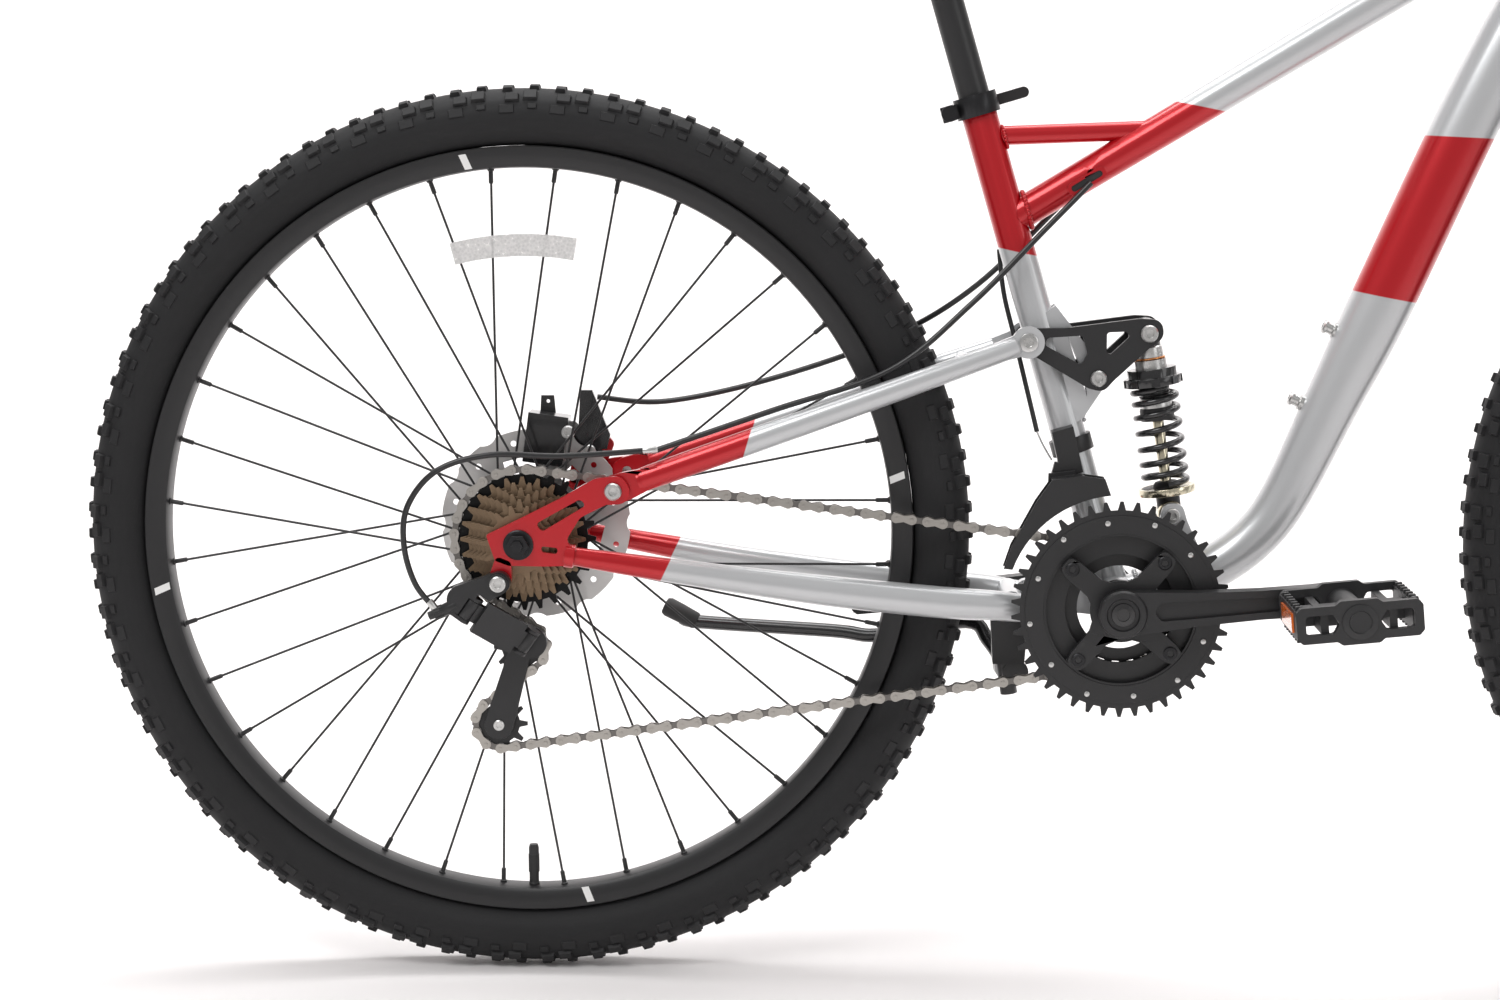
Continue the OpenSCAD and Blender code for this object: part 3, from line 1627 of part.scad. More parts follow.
// front brake cable: distance along the steerer, ahead of it, and to the left
brake_front_run = [[604, 118, 92], [560, 84, 66], [490, 62, 62], [400, 60, 74], [320, 50, 88],
    [250, 30, 92], [180, 4, 82], [125, -2, 50], [80, -6, 44]];

module cables() {
    color([0.04, 0.04, 0.04]) {
        cable(route(rear, gear_loop), cable_r, [0, 1, 0.01]);
        cable(route(bb, gear_run), cable_r, [0, 1, 0]);
        cable(route(rear, brake_run), cable_r, [0, 1, 0]);
        cable(route(bb, front_gear_run), 2, [0, 1, 0]);
        cable(concat([grip_root + [44, -6, -24]], [for (p = brake_front_run) at(sx(p[0], p[1]), p[2])]),
            cable_r, [1, 0.1, 0]);
    }
}

seat_tube();
top_tube();
down_tube();
head_tube();
bearing_cups();
frame_bolts();
seat_collar();
seat_lever();
front_derailleur_mount();
front_derailleur_cage();
seatpost();
saddle_rails();
saddle();
chainstays();
rear_axle();
rear_calliper();
rear_calliper_arm();
kickstand_bracket();
kickstand_leg();
seatstays();
rocker();
rocker_bolts();
shock_body();
shock_shaft();
shock_spring();
rear_tyre();
rear_rim();
rear_tube();
rear_spokes();
rear_hub();
rear_rotor();
cassette();
front_tyre();
front_rim();
front_tube();
front_spokes();
front_hub();
front_rotor();
crank_right();
crank_left();
chainrings();
pedal_right();
pedal_left();
chain();
derailleur_knuckle();
derailleur_link();
derailleur_p_knuckle();
derailleur_cage();
guide_pulley();
tension_pulley();
fork_upper();
fork_lowers();
front_calliper();
stem();
handlebar();
grips();
lever_clamps();
brake_lever_right();
brake_lever_left();
cables();
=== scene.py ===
import math

import bpy
from mathutils import Matrix, Vector, geometry


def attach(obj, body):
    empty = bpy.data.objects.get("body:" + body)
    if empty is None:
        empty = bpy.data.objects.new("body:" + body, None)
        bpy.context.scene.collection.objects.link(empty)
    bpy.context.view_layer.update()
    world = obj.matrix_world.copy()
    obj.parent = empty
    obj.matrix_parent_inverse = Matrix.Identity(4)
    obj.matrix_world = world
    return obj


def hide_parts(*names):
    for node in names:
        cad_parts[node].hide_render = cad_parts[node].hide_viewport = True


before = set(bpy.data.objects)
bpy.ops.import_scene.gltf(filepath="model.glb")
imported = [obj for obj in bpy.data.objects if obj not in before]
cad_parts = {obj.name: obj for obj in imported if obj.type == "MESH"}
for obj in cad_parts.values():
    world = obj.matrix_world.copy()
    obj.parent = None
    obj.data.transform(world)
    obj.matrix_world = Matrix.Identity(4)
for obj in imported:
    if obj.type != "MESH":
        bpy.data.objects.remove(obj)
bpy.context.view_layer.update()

# ---------- reference points of the bike, in millimetres: x forward, z up ----------
MM = 0.001
REAR = (-565.0, 367.0)
FRONT = (565.0, 367.0)
BB = (-82.0, 312.5)
SEAT = math.radians(74)
HEAD = math.radians(70.5)
CRANK = math.radians(4.2)


def seat_line(d, off=0.0):
    return (BB[0] - d * math.cos(SEAT) + off * math.sin(SEAT),
            BB[1] + d * math.sin(SEAT) + off * math.cos(SEAT))


STEER = (-math.cos(HEAD), math.sin(HEAD))
AHEAD = (math.sin(HEAD), math.cos(HEAD))
FOOT = (FRONT[0] - 45 * AHEAD[0], FRONT[1] - 45 * AHEAD[1])


def steer_line(s, f=0.0):
    return (FOOT[0] + s * STEER[0] + f * AHEAD[0], FOOT[1] + s * STEER[1] + f * AHEAD[1])


MAIN_PIVOT = (BB[0] - 46, BB[1] + 1.5)
ROCKER_FRAME = seat_line(180.9, 34.2)
ROCKER_REAR = seat_line(225.2, -12.3)
ROCKER_FRONT = seat_line(204.6, 83)
SHOCK_LOW = seat_line(56.1, 62.3)
STAY_PIVOT = (REAR[0] + 76.7, REAR[1] + 43.3)
HANGER = (REAR[0] - 15.3, REAR[1] - 29.7)
CRANK_END = (BB[0] + 170 * math.cos(CRANK), BB[1] + 170 * math.sin(CRANK))
CRANK_END_LEFT = (2 * BB[0] - CRANK_END[0], 2 * BB[1] - CRANK_END[1])
BAR = steer_line(669, 70)
SADDLE = seat_line(616)
RAIL_Z = SADDLE[1] + 18


def plus(p, dx, dz):
    return (p[0] + dx, p[1] + dz)


def v3(p, y=0.0):
    return Vector((p[0], y, p[1]))


# ---------- materials ----------
def new_material(name):
    m = bpy.data.materials.new(name)
    m.use_nodes = True
    tree = m.node_tree
    tree.nodes.clear()
    out = tree.nodes.new("ShaderNodeOutputMaterial")
    bsdf = tree.nodes.new("ShaderNodeBsdfPrincipled")
    tree.links.new(bsdf.outputs[0], out.inputs[0])
    coord = tree.nodes.new("ShaderNodeTexCoord")
    return m, tree, bsdf, coord


def noise(tree, coord, scale, detail=3.0, rough=0.55):
    n = tree.nodes.new("ShaderNodeTexNoise")
    n.inputs["Scale"].default_value = scale
    n.inputs["Detail"].default_value = detail
    n.inputs["Roughness"].default_value = rough
    tree.links.new(coord.outputs["Object"], n.inputs["Vector"])
    return n


def spread(tree, fac, low, high):
    r = tree.nodes.new("ShaderNodeMapRange")
    r.inputs["To Min"].default_value = low
    r.inputs["To Max"].default_value = high
    tree.links.new(fac, r.inputs["Value"])
    return r.outputs[0]


def mix(tree, fac, a, b):
    n = tree.nodes.new("ShaderNodeMix")
    n.data_type = "RGBA"
    tree.links.new(fac, n.inputs["Factor"])
    for socket, value in ((n.inputs["A"], a), (n.inputs["B"], b)):
        if isinstance(value, tuple):
            socket.default_value = (*value, 1)
        else:
            tree.links.new(value, socket)
    return n.outputs["Result"]


def beyond(tree, coord, normal, level, soft=0.0004):
    """0 on the near side of a plane, 1 beyond it."""
    dot = tree.nodes.new("ShaderNodeVectorMath")
    dot.operation = "DOT_PRODUCT"
    dot.inputs[1].default_value = normal
    tree.links.new(coord.outputs["Object"], dot.inputs[0])
    r = tree.nodes.new("ShaderNodeMapRange")
    r.inputs["From Min"].default_value = level - soft
    r.inputs["From Max"].default_value = level + soft
    tree.links.new(dot.outputs["Value"], r.inputs["Value"])
    return r.outputs[0]


def one_minus(tree, a):
    n = tree.nodes.new("ShaderNodeMath")
    n.operation = "SUBTRACT"
    n.inputs[0].default_value = 1.0
    tree.links.new(a, n.inputs[1])
    return n.outputs[0]


def times(tree, a, b):
    n = tree.nodes.new("ShaderNodeMath")
    n.operation = "MULTIPLY"
    tree.links.new(a, n.inputs[0])
    tree.links.new(b, n.inputs[1])
    return n.outputs[0]


def bump_map(tree, bsdf, height, strength, distance):
    b = tree.nodes.new("ShaderNodeBump")
    b.inputs["Strength"].default_value = strength
    b.inputs["Distance"].default_value = distance
    tree.links.new(height, b.inputs["Height"])
    tree.links.new(b.outputs[0], bsdf.inputs["Normal"])


def tinted(tree, fac, base, tint):
    """A colour that wanders a little darker and lighter with fac."""
    return mix(tree, fac, tuple(c * (1 - tint) for c in base), tuple(min(1.0, c * (1 + tint)) for c in base))


def surface(name, base, rough=(0.35, 0.45), metal=0.0, coat=0.0, coat_rough=0.1, tint=0.06, grain=180.0,
            bump=0.0, specular=0.5, zones=()):
    """A procedural finish: uneven tint and gloss, fine grain, and colour zones split by planes."""
    m, tree, bsdf, coord = new_material(name)
    broad = noise(tree, coord, 14.0)
    fine = noise(tree, coord, grain, 4.0, 0.6)
    colour = tinted(tree, broad.outputs["Fac"], base, tint)
    for planes, other in zones:
        fac = None
        for normal, level, keep_above in planes:
            side = beyond(tree, coord, normal, level)
            if not keep_above:
                side = one_minus(tree, side)
            fac = times(tree, fac, side) if fac else side
        colour = mix(tree, fac, colour, tinted(tree, broad.outputs["Fac"], other, tint))
    tree.links.new(colour, bsdf.inputs["Base Color"])
    tree.links.new(spread(tree, fine.outputs["Fac"], *rough), bsdf.inputs["Roughness"])
    bsdf.inputs["Metallic"].default_value = metal
    bsdf.inputs["Coat Weight"].default_value = coat
    bsdf.inputs["Coat Roughness"].default_value = coat_rough
    bsdf.inputs["Specular IOR Level"].default_value = specular
    if bump:
        bump_map(tree, bsdf, fine.outputs["Fac"], bump, 0.0006)
    return m


WHITE = (0.56, 0.57, 0.58)
RED = (0.50, 0.0015, 0.008)
paint = dict(rough=(0.26, 0.34), metal=0.42, coat=0.55, tint=0.02, grain=900.0)
paint_seat = surface("paint_seat_tube", WHITE, zones=[([((0.2163, 0, 0.9764), 0.5477, True)], RED)], **paint)
paint_top = surface("paint_top_tube", RED, zones=[([((0.2017, 0, 0.9795), 0.6946, True)], WHITE)], **paint)
paint_down = surface("paint_down_tube", WHITE,
                     zones=[([((0.192, 0, 0.981), 0.5748, True), ((0.0553, 0, 0.9985), 0.6970, False)], RED)],
                     **paint)
paint_chainstay = surface("paint_chainstay", WHITE, zones=[([((0.8994, 0, -0.4375), -0.5535, False)], RED)],
                          **paint)
paint_seatstay = surface("paint_seatstay", WHITE, zones=[([((0.9578, 0, -0.2873), -0.4938, False)], RED)],
                         **paint)
paint_red = surface("paint_red", RED, **paint)
paint_white = surface("paint_white", WHITE, **paint)
black_gloss = surface("black_gloss", (0.012, 0.012, 0.013), (0.16, 0.28), coat=0.5, grain=400, bump=0.03)
black_satin = surface("black_satin", (0.016, 0.016, 0.017), (0.34, 0.46), grain=500, bump=0.05, tint=0.15)
black_matte = surface("black_matte", (0.020, 0.020, 0.021), (0.5, 0.62), grain=700, bump=0.10, tint=0.2)
anodised = surface("anodised_black", (0.030, 0.030, 0.032), (0.28, 0.40), metal=0.75, grain=600, bump=0.03,
                   tint=0.12)
rim_black = surface("rim_black", (0.012, 0.012, 0.013), (0.36, 0.46), grain=600, bump=0.04, tint=0.12)
steel = surface("steel_bright", (0.60, 0.60, 0.59), (0.22, 0.36), metal=1.0, grain=700, bump=0.05)
rotor_steel = surface("rotor_steel", (0.66, 0.65, 0.64), (0.26, 0.42), metal=1.0, grain=260, bump=0.08,
                      tint=0.10)
chain_steel = surface("chain_steel", (0.44, 0.42, 0.39), (0.28, 0.44), metal=1.0, grain=500, bump=0.08,
                      tint=0.22)
chain_dark = surface("chain_dark", (0.20, 0.19, 0.18), (0.34, 0.5), metal=1.0, grain=500, bump=0.08,
                     tint=0.25)
cog_brown = surface("cog_brown", (0.235, 0.165, 0.105), (0.34, 0.5), metal=0.8, grain=420, bump=0.10,
                    tint=0.22,
                    zones=[([((0, 1, 0), -0.0382, True)], (0.014, 0.014, 0.014))])
tyre_rubber = surface("tyre_rubber", (0.0125, 0.0125, 0.0135), (0.60, 0.76), grain=900, bump=0.16, tint=0.2,
                      specular=0.35)
knob_rubber = surface("knob_rubber", (0.0115, 0.0115, 0.0125), (0.52, 0.68), grain=700, bump=0.12, tint=0.22,
                      specular=0.4)
soft_rubber = surface("soft_rubber", (0.020, 0.020, 0.020), (0.55, 0.72), grain=900, bump=0.18, tint=0.2)
plastic = surface("black_plastic", (0.022, 0.022, 0.023), (0.40, 0.55), grain=600, bump=0.10, tint=0.16)
cable_skin = surface("cable_skin", (0.018, 0.018, 0.019), (0.24, 0.36), grain=300, bump=0.03, tint=0.12)
saddle_skin = surface("saddle_skin", (0.022, 0.022, 0.023), (0.42, 0.58), grain=1200, bump=0.30, tint=0.15)
copper = surface("copper_ring", (0.80, 0.34, 0.13), (0.22, 0.36), metal=1.0, grain=500, bump=0.04)
brass_shaft = surface("shaft_warm", (0.72, 0.66, 0.50), (0.12, 0.24), metal=1.0, grain=500, bump=0.02)
amber = surface("reflector_amber", (0.85, 0.16, 0.012), (0.10, 0.22), coat=0.8, grain=1400, bump=0.55,
                tint=0.2)
mark_white = surface("mark_white", (0.80, 0.80, 0.79), (0.35, 0.5), grain=700, bump=0.03, tint=0.03)


# ---------- clear moulded plastic ----------
def clear_reflector():
    m, tree, bsdf, coord = new_material("reflector_clear")
    cells = tree.nodes.new("ShaderNodeTexVoronoi")
    cells.inputs["Scale"].default_value = 420.0
    tree.links.new(coord.outputs["Object"], cells.inputs["Vector"])
    tree.links.new(mix(tree, cells.outputs["Distance"], (0.62, 0.62, 0.62), (0.90, 0.89, 0.88)),
                   bsdf.inputs["Base Color"])
    tree.links.new(spread(tree, cells.outputs["Distance"], 0.08, 0.30), bsdf.inputs["Roughness"])
    bsdf.inputs["Transmission Weight"].default_value = 0.30
    bsdf.inputs["IOR"].default_value = 1.46
    bump_map(tree, bsdf, cells.outputs["Distance"], 0.35, 0.0008)
    return m


clear = clear_reflector()


# ---------- mesh helpers: all take millimetres ----------
def round_edges(o, name, width, angle):
    mod = o.modifiers.new(name, "BEVEL")
    mod.width = width * MM
    mod.segments = 2
    mod.limit_method = "ANGLE"
    mod.angle_limit = math.radians(angle)
    mod.harden_normals = True


def piece(name, verts, faces, mats, body, slot, nodes=(), index=None, sharp=32.0, bevel=0.0):
    mesh = bpy.data.meshes.new(name)
    mesh.from_pydata([tuple(c * MM for c in v) for v in verts], [], faces)
    for m in mats if isinstance(mats, (list, tuple)) else [mats]:
        mesh.materials.append(m)
    if index:
        for poly, i in zip(mesh.polygons, index):
            poly.material_index = i
    mesh.update()
    mesh.polygons.foreach_set("use_smooth", [True] * len(mesh.polygons))
    mesh.set_sharp_from_angle(angle=math.radians(sharp))
    o = bpy.data.objects.new(name, mesh)
    bpy.context.scene.collection.objects.link(o)
    if bevel:
        round_edges(o, "bevel", bevel, 35)
    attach(o, body)
    if nodes:
        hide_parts(*nodes)
    return o


class Build:
    """Collects several shapes into one mesh."""

    def __init__(self):
        self.v, self.f, self.i = [], [], []

    def add(self, verts, faces, index=0):
        base = len(self.v)
        self.v += [tuple(p) for p in verts]
        self.f += [tuple(k + base for k in face) for face in faces]
        self.i += [index] * len(faces)

    def done(self, name, mats, body, slot, nodes=(), **more):
        return piece(name, self.v, self.f, mats, body, slot, nodes, self.i, **more)


def curve_points(points, steps=6):
    """Smooth curve through given points of any dimension."""
    out = []
    n = len(points)
    for i in range(n - 1):
        p = [points[max(0, min(n - 1, j))] for j in (i - 1, i, i + 1, i + 2)]
        for k in range(steps):
            t = k / steps
            out.append(tuple(0.5 * (2 * b + (c - a) * t + (2 * a - 5 * b + 4 * c - d) * t * t
                                    + (3 * b - a - 3 * c + d) * t ** 3) for a, b, c, d in zip(*p)))
    out.append(tuple(points[-1]))
    return out


def tube_mesh(points, radius, sides=20, squash=(1.0, 1.0)):
    """Round or oval tube along 3-D points; radius is one number or one per point."""
    pts = [Vector(p) for p in points]
    radii = radius if isinstance(radius, (list, tuple)) else [radius] * len(pts)
    verts, faces = [], []
    tangent = (pts[1] - pts[0]).normalized()
    up = Vector((0, 1, 0)) if abs(tangent.y) < 0.9 else Vector((1, 0, 0))
    side = tangent.cross(up).normalized()
    for i, p in enumerate(pts):
        a = pts[max(0, i - 1)]
        b = pts[min(len(pts) - 1, i + 1)]
        t = (b - a).normalized()
        side = (side - t * side.dot(t)).normalized()
        other = t.cross(side)
        for k in range(sides):
            w = 2 * math.pi * k / sides
            verts.append(p + side * math.cos(w) * radii[i] * squash[0]
                         + other * math.sin(w) * radii[i] * squash[1])
    for i in range(len(pts) - 1):
        for k in range(sides):
            n = (k + 1) % sides
            faces.append((i * sides + k, i * sides + n, (i + 1) * sides + n, (i + 1) * sides + k))
    faces.append(tuple(range(sides))[::-1])
    faces.append(tuple((len(pts) - 1) * sides + k for k in range(sides)))
    return verts, faces


def turned(profile, place, sides=64, closed=False):
    """Profile of (radius, height) turned round the local z axis of the matrix place."""
    verts, faces = [], []
    n = len(profile)
    for k in range(sides):
        w = 2 * math.pi * k / sides
        for r, h in profile:
            verts.append(place @ Vector((r * math.cos(w), r * math.sin(w), h)))
    for k in range(sides):
        j = (k + 1) % sides
        for i in range(n if closed else n - 1):
            m = (i + 1) % n
            faces.append((k * n + i, j * n + i, j * n + m, k * n + m))
    if not closed:
        faces.append(tuple(k * n for k in range(sides))[::-1])
        faces.append(tuple(k * n + n - 1 for k in range(sides)))
    return verts, faces


def across(p, y=0.0):
    """Matrix whose z axis runs along +Y from a side-view point."""
    return Matrix.Translation((p[0], y, p[1])) @ Matrix.Rotation(math.radians(-90), 4, "X")


def facing(p, y, s):
    """Matrix at a side-view point whose z axis looks outward: s is +1 on the left, -1 on the right."""
    return across(p, y) if s > 0 else across(p, y) @ Matrix.Rotation(math.pi, 4, "X")


def along(a, b):
    """Matrix at a whose z axis points to b."""
    d = (Vector(b) - Vector(a)).normalized()
    return Matrix.Translation(a) @ d.to_track_quat("Z", "Y").to_matrix().to_4x4()


def fillet(points, radii, steps=5):
    """Closed outline with rounded corners; radii is one number or one per corner."""
    n = len(points)
    out = []
    for i in range(n):
        r = radii[i] if isinstance(radii, (list, tuple)) else radii
        p = Vector(points[i])
        a = (Vector(points[i - 1]) - p)
        b = (Vector(points[(i + 1) % n]) - p)
        half = a.angle(b) / 2
        if r <= 0 or half > 1.55:
            out.append(tuple(p))
            continue
        cut = min(r / math.tan(half), a.length * 0.48, b.length * 0.48)
        r = cut * math.tan(half)
        a.normalize()
        b.normalize()
        centre = p + (a + b).normalized() * (r / math.sin(half))
        s = p + a * cut - centre
        e = p + b * cut - centre
        turn = math.atan2(s.x * e.y - s.y * e.x, s.dot(e))
        for k in range(steps + 1):
            w = turn * k / steps
            out.append((centre.x + s.x * math.cos(w) - s.y * math.sin(w),
                        centre.y + s.x * math.sin(w) + s.y * math.cos(w)))
    return out


def polar(p, r, a):
    """Side-view point at radius r and angle a from p."""
    return (p[0] + r * math.cos(a), p[1] + r * math.sin(a))


def circle(p, r, n=28):
    return [polar(p, r, 2 * math.pi * k / n) for k in range(n)]


def plate_mesh(outline, y0, y1, holes=(), place=None):
    """Flat plate across the bike from a side-view outline with holes."""
    def area(loop):
        return sum(a[0] * b[1] - b[0] * a[1] for a, b in zip(loop, loop[1:] + loop[:1]))

    loops = [list(outline) if area(list(outline)) > 0 else list(outline)[::-1]]
    loops += [list(h) if area(list(h)) < 0 else list(h)[::-1] for h in holes]
    flat = [p for loop in loops for p in loop]
    tris = geometry.tessellate_polygon([[Vector((p[0], p[1], 0)) for p in loop] for loop in loops])
    n = len(flat)
    put = (lambda x, y, z: place @ Vector((x, y, z))) if place else (lambda x, y, z: (x, y, z))
    verts = [put(p[0], y0, p[1]) for p in flat] + [put(p[0], y1, p[1]) for p in flat]
    faces = []
    for a, b, c in tris:
        pa, pb, pc = flat[a], flat[b], flat[c]
        if (pb[0] - pa[0]) * (pc[1] - pa[1]) - (pb[1] - pa[1]) * (pc[0] - pa[0]) < 0:
            b, c = c, b
        faces.append((a, b, c))
        faces.append((a + n, c + n, b + n))
    base = 0
    for loop in loops:
        k = len(loop)
        for i in range(k):
            j = (i + 1) % k
            faces.append((base + j, base + i, base + i + n, base + j + n))
        base += k
    return verts, faces


def block_mesh(centre, size, matrix=None, taper=1.0):
    """Box with a smaller top; size along the matrix axes."""
    m = matrix or Matrix.Identity(3)
    x, y, z = (s / 2 for s in size)
    verts = []
    for dz, k in ((-z, 1.0), (z, taper)):
        for dx, dy in ((-x, -y), (x, -y), (x, y), (-x, y)):
            verts.append(Vector(centre) + m @ Vector((dx * k, dy * k, dz)))
    return verts, [(3, 2, 1, 0), (4, 5, 6, 7), (0, 1, 5, 4), (1, 2, 6, 5), (2, 3, 7, 6), (3, 0, 4, 7)]


def socket_head(build, p, y, side, r=5.0, h=3.0, index=0):
    """Domed bolt head with a hexagon recess, facing to one side (+1 left, -1 right)."""
    build.add(*turned([(r, 0), (r, h * 0.7), (r * 0.86, h), (r * 0.5, h), (r * 0.44, h * 0.4),
                       (0.05, h * 0.35)],
                      facing(p, y, side), 24), index)


# ---------- CAD nodes that stay in view ----------
SHOWN = {
    "seat_tube": paint_seat, "top_tube": paint_top, "head_tube": paint_white, "bearing_cups": anodised,
    "seat_collar": anodised, "seat_lever": black_satin, "front_derailleur_mount": black_satin,
    "front_derailleur_cage": black_satin, "seatpost": black_satin, "rear_axle": anodised,
    "rear_calliper": black_gloss,
    "rear_calliper_arm": black_gloss, "kickstand_bracket": black_satin,
    "shock_body": black_gloss, "shock_shaft": brass_shaft, "rear_spokes": black_satin, "rear_hub": anodised,
    "rear_rotor": rotor_steel, "cassette": cog_brown, "front_spokes": black_satin, "front_hub": anodised,
    "front_rotor": rotor_steel, "chainrings": black_satin, "derailleur_knuckle": black_satin,
    "derailleur_link": black_satin, "derailleur_p_knuckle": black_satin, "derailleur_cage": black_satin,
    "guide_pulley": plastic, "tension_pulley": plastic, "fork_upper": black_gloss,
    "front_calliper": black_gloss,
    "stem": black_satin, "lever_clamps": plastic, "brake_lever_right": black_satin,
    "brake_lever_left": black_satin,
    "rear_tube": soft_rubber, "front_tube": soft_rubber,
}
ROUNDED = {
    "derailleur_knuckle": 1.3, "derailleur_link": 1.6, "derailleur_p_knuckle": 1.3, "derailleur_cage": 0.5,
    "rear_calliper": 1.4, "rear_calliper_arm": 1.0, "front_calliper": 1.4, "front_derailleur_mount": 1.0,
    "front_derailleur_cage": 0.35, "kickstand_bracket": 1.2, "seat_collar": 0.8, "seat_lever": 1.0,
    "stem": 1.2,
    "lever_clamps": 1.0, "chainrings": 0.25, "cassette": 0.22, "seat_tube": 0.5, "shock_body": 0.4,
    "shock_shaft": 0.4, "rear_hub": 0.5, "front_hub": 0.5, "head_tube": 0.6,
}
for node, material in SHOWN.items():
    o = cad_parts[node]
    o.data.materials.clear()
    o.data.materials.append(material)
    if node in ROUNDED:
        weld = o.modifiers.new("weld", "WELD")
        weld.merge_threshold = 0.00001
        flat = o.modifiers.new("flat", "DECIMATE")
        flat.decimate_type = "DISSOLVE"
        flat.angle_limit = math.radians(1.5)
        round_edges(o, "edge", ROUNDED[node], 38)


# ---------- wheels ----------
def wheel(tag, centre, body):
    """Knobbly tyre, rim with marks, nipples and valve of one wheel."""
    place = across(centre)
    # casing with fine moulded lines on the side walls
    profile = []
    for k in range(49):
        a = math.radians(-152 + 304 * k / 48)
        line = 0.25 if 55 < abs(math.degrees(a)) < 130 and k % 3 == 0 else 0.0
        r = 23.6 + line
        profile.append((340 + r * math.cos(a), r * math.sin(a) * 1.02))
    profile += [(318.4, 10.5), (317.8, 0), (318.4, -10.5)]
    casing = Build()
    casing.add(*turned(profile, place, 180, closed=True))
    casing.done(tag + "_tyre_casing", tyre_rubber, body, "tyre_rubber", (tag + "_tyre",), sharp=50)
    # tread blocks: pairs in the middle, large ones on the shoulders, ribs below them
    tread = Build()
    rows = 106
    for i in range(rows):
        turn = 2 * math.pi * i / rows
        odd = i % 2
        blocks = [(-8.0 if odd else -4.6, 7.6, 8.5, 3.2), (8.0 if odd else 4.6, 7.6, 8.5, 3.2)]
        for across_mm, wide, long, tall in blocks:
            put_block(tread, place, turn, across_mm / 24.0, wide, long, tall)
        for s in (-1, 1):
            lean = math.radians(50 if odd else 44)
            put_block(tread, place, turn + (0.012 if odd else -0.006), s * lean, 8.5 if odd else 10.5, 12.0,
                      3.4)
            if odd:
                put_block(tread, place, turn, s * math.radians(73), 8.0, 13.5, 1.5)
            else:
                put_block(tread, place, turn, s * math.radians(68), 5.0, 8.0, 2.2)
    tread.done(tag + "_tyre_knobs", knob_rubber, body, "tyre_rubber", sharp=20, bevel=0.35)
    # rim
    rim = [(299.5, -9), (300.5, -11.5), (303, -13.3), (311, -14.8), (316.6, -15), (317.5, -14.2),
           (317.5, -12),
           (312, -11.6), (310, -8), (309.4, 0), (310, 8), (312, 11.6), (317.5, 12), (317.5, 14.2),
           (316.6, 15),
           (311, 14.8), (303, 13.3), (300.5, 11.5), (299.5, 9), (299.5, 0)]
    rims = Build()
    rims.add(*turned(rim, place, 180, closed=True))
    rims.done(tag + "_rim_ring", rim_black, body, "anodised_black", (tag + "_rim",), sharp=28)
    # slanted white marks on both faces of the rim, four round the wheel
    marks = Build()
    for k in range(4):
        for s in (-1, 1):
            slanted_mark(marks, centre, math.radians(98.5 + 90.1 * k), s)
    marks.done(tag + "_rim_marks", mark_white, body, "anodised_black", sharp=60)
    # spoke nipples
    nipples = Build()
    for side in (0, 1):
        for k in range(18):
            a = math.radians(k * 20 + side * 10 + 5)
            way = 1 if k % 2 == 0 else -1
            b = a + way * math.radians(60)
            flange = (24, -20) if tag == "rear" else (20, -26)
            end = v3(polar(centre, 302, a), 3 if side == 0 else -3)
            root = v3(polar(centre, 25, b), flange[side] + way * 2.9)
            d = (root - end).normalized()
            nipples.add(*turned([(2.9, 0), (2.9, 3.4), (1.9, 4.4), (1.9, 13.5), (1.3, 14.2)],
                                along(end, end + d), 12))
            # elbow head of the spoke on the flange
            nipples.add(*turned([(1.9, -0.8), (2.0, 0.6), (1.0, 1.5)], across((root.x, root.z), root.y), 10))
    nipples.done(tag + "_nipples", black_satin, body, "black_paint")
    # valve with cap
    valve = Build()
    base = v3(centre) - Vector((0, 0, 301))
    valve.add(*turned([(4.4, 0), (4.4, 3), (3.0, 5), (3.0, 22), (4.3, 22.5), (4.3, 33), (3.4, 36),
                       (0.1, 36.4)],
                      along(base, v3(centre)), 20))
    valve.done(tag + "_valve_cap", plastic, body, "black_rubber")


def put_block(build, place, turn, lean, wide, long, tall):
    """One tread block on the casing: turn round the wheel, lean from the crown to the side."""
    out = Vector((math.cos(turn) * math.cos(lean), math.sin(turn) * math.cos(lean), math.sin(lean)))
    centre = Vector((340 * math.cos(turn), 340 * math.sin(turn), 0)) + out * (23.4 + tall / 2 - 0.2)
    forward = Vector((-math.sin(turn), math.cos(turn), 0))
    side = out.cross(forward)
    m = Matrix((forward, side, out)).transposed()
    r3 = place.to_3x3()
    build.add(*block_mesh(place @ centre, (long, wide, tall + 0.6), r3 @ m, 0.84))


def slanted_mark(build, centre, angle, s):
    verts = []
    for r, off in ((301.5, -4.6), (301.5, 1.4), (314.0, 4.6), (314.0, -1.4)):
        y = 13.05 + (r - 303) * 0.19
        w = angle + off / r
        for extra in (0.0, 0.35):
            verts.append((centre[0] + r * math.cos(w), s * (y + extra), centre[1] + r * math.sin(w)))
    faces = [(1, 3, 5, 7), (6, 4, 2, 0), (0, 2, 3, 1), (2, 4, 5, 3), (4, 6, 7, 5), (6, 0, 1, 7)]
    build.add(verts, faces if s < 0 else [f[::-1] for f in faces])


wheel("rear", REAR, "rear_wheel")
wheel("front", FRONT, "front_wheel")

# clear reflector clipped between the rear spokes
glass = Build()
outline = [polar(REAR, 246, math.radians(92 + 12.2 - 24.4 * k / 12)) for k in range(13)]
outline += [polar(REAR, 228, math.radians(92 - 12.2 + 24.4 * k / 12)) for k in range(13)]
glass.add(*plate_mesh(outline, -9, -4))
glass.done("rear_spoke_reflector", clear, "rear_wheel", "black_plastic", bevel=1.2)


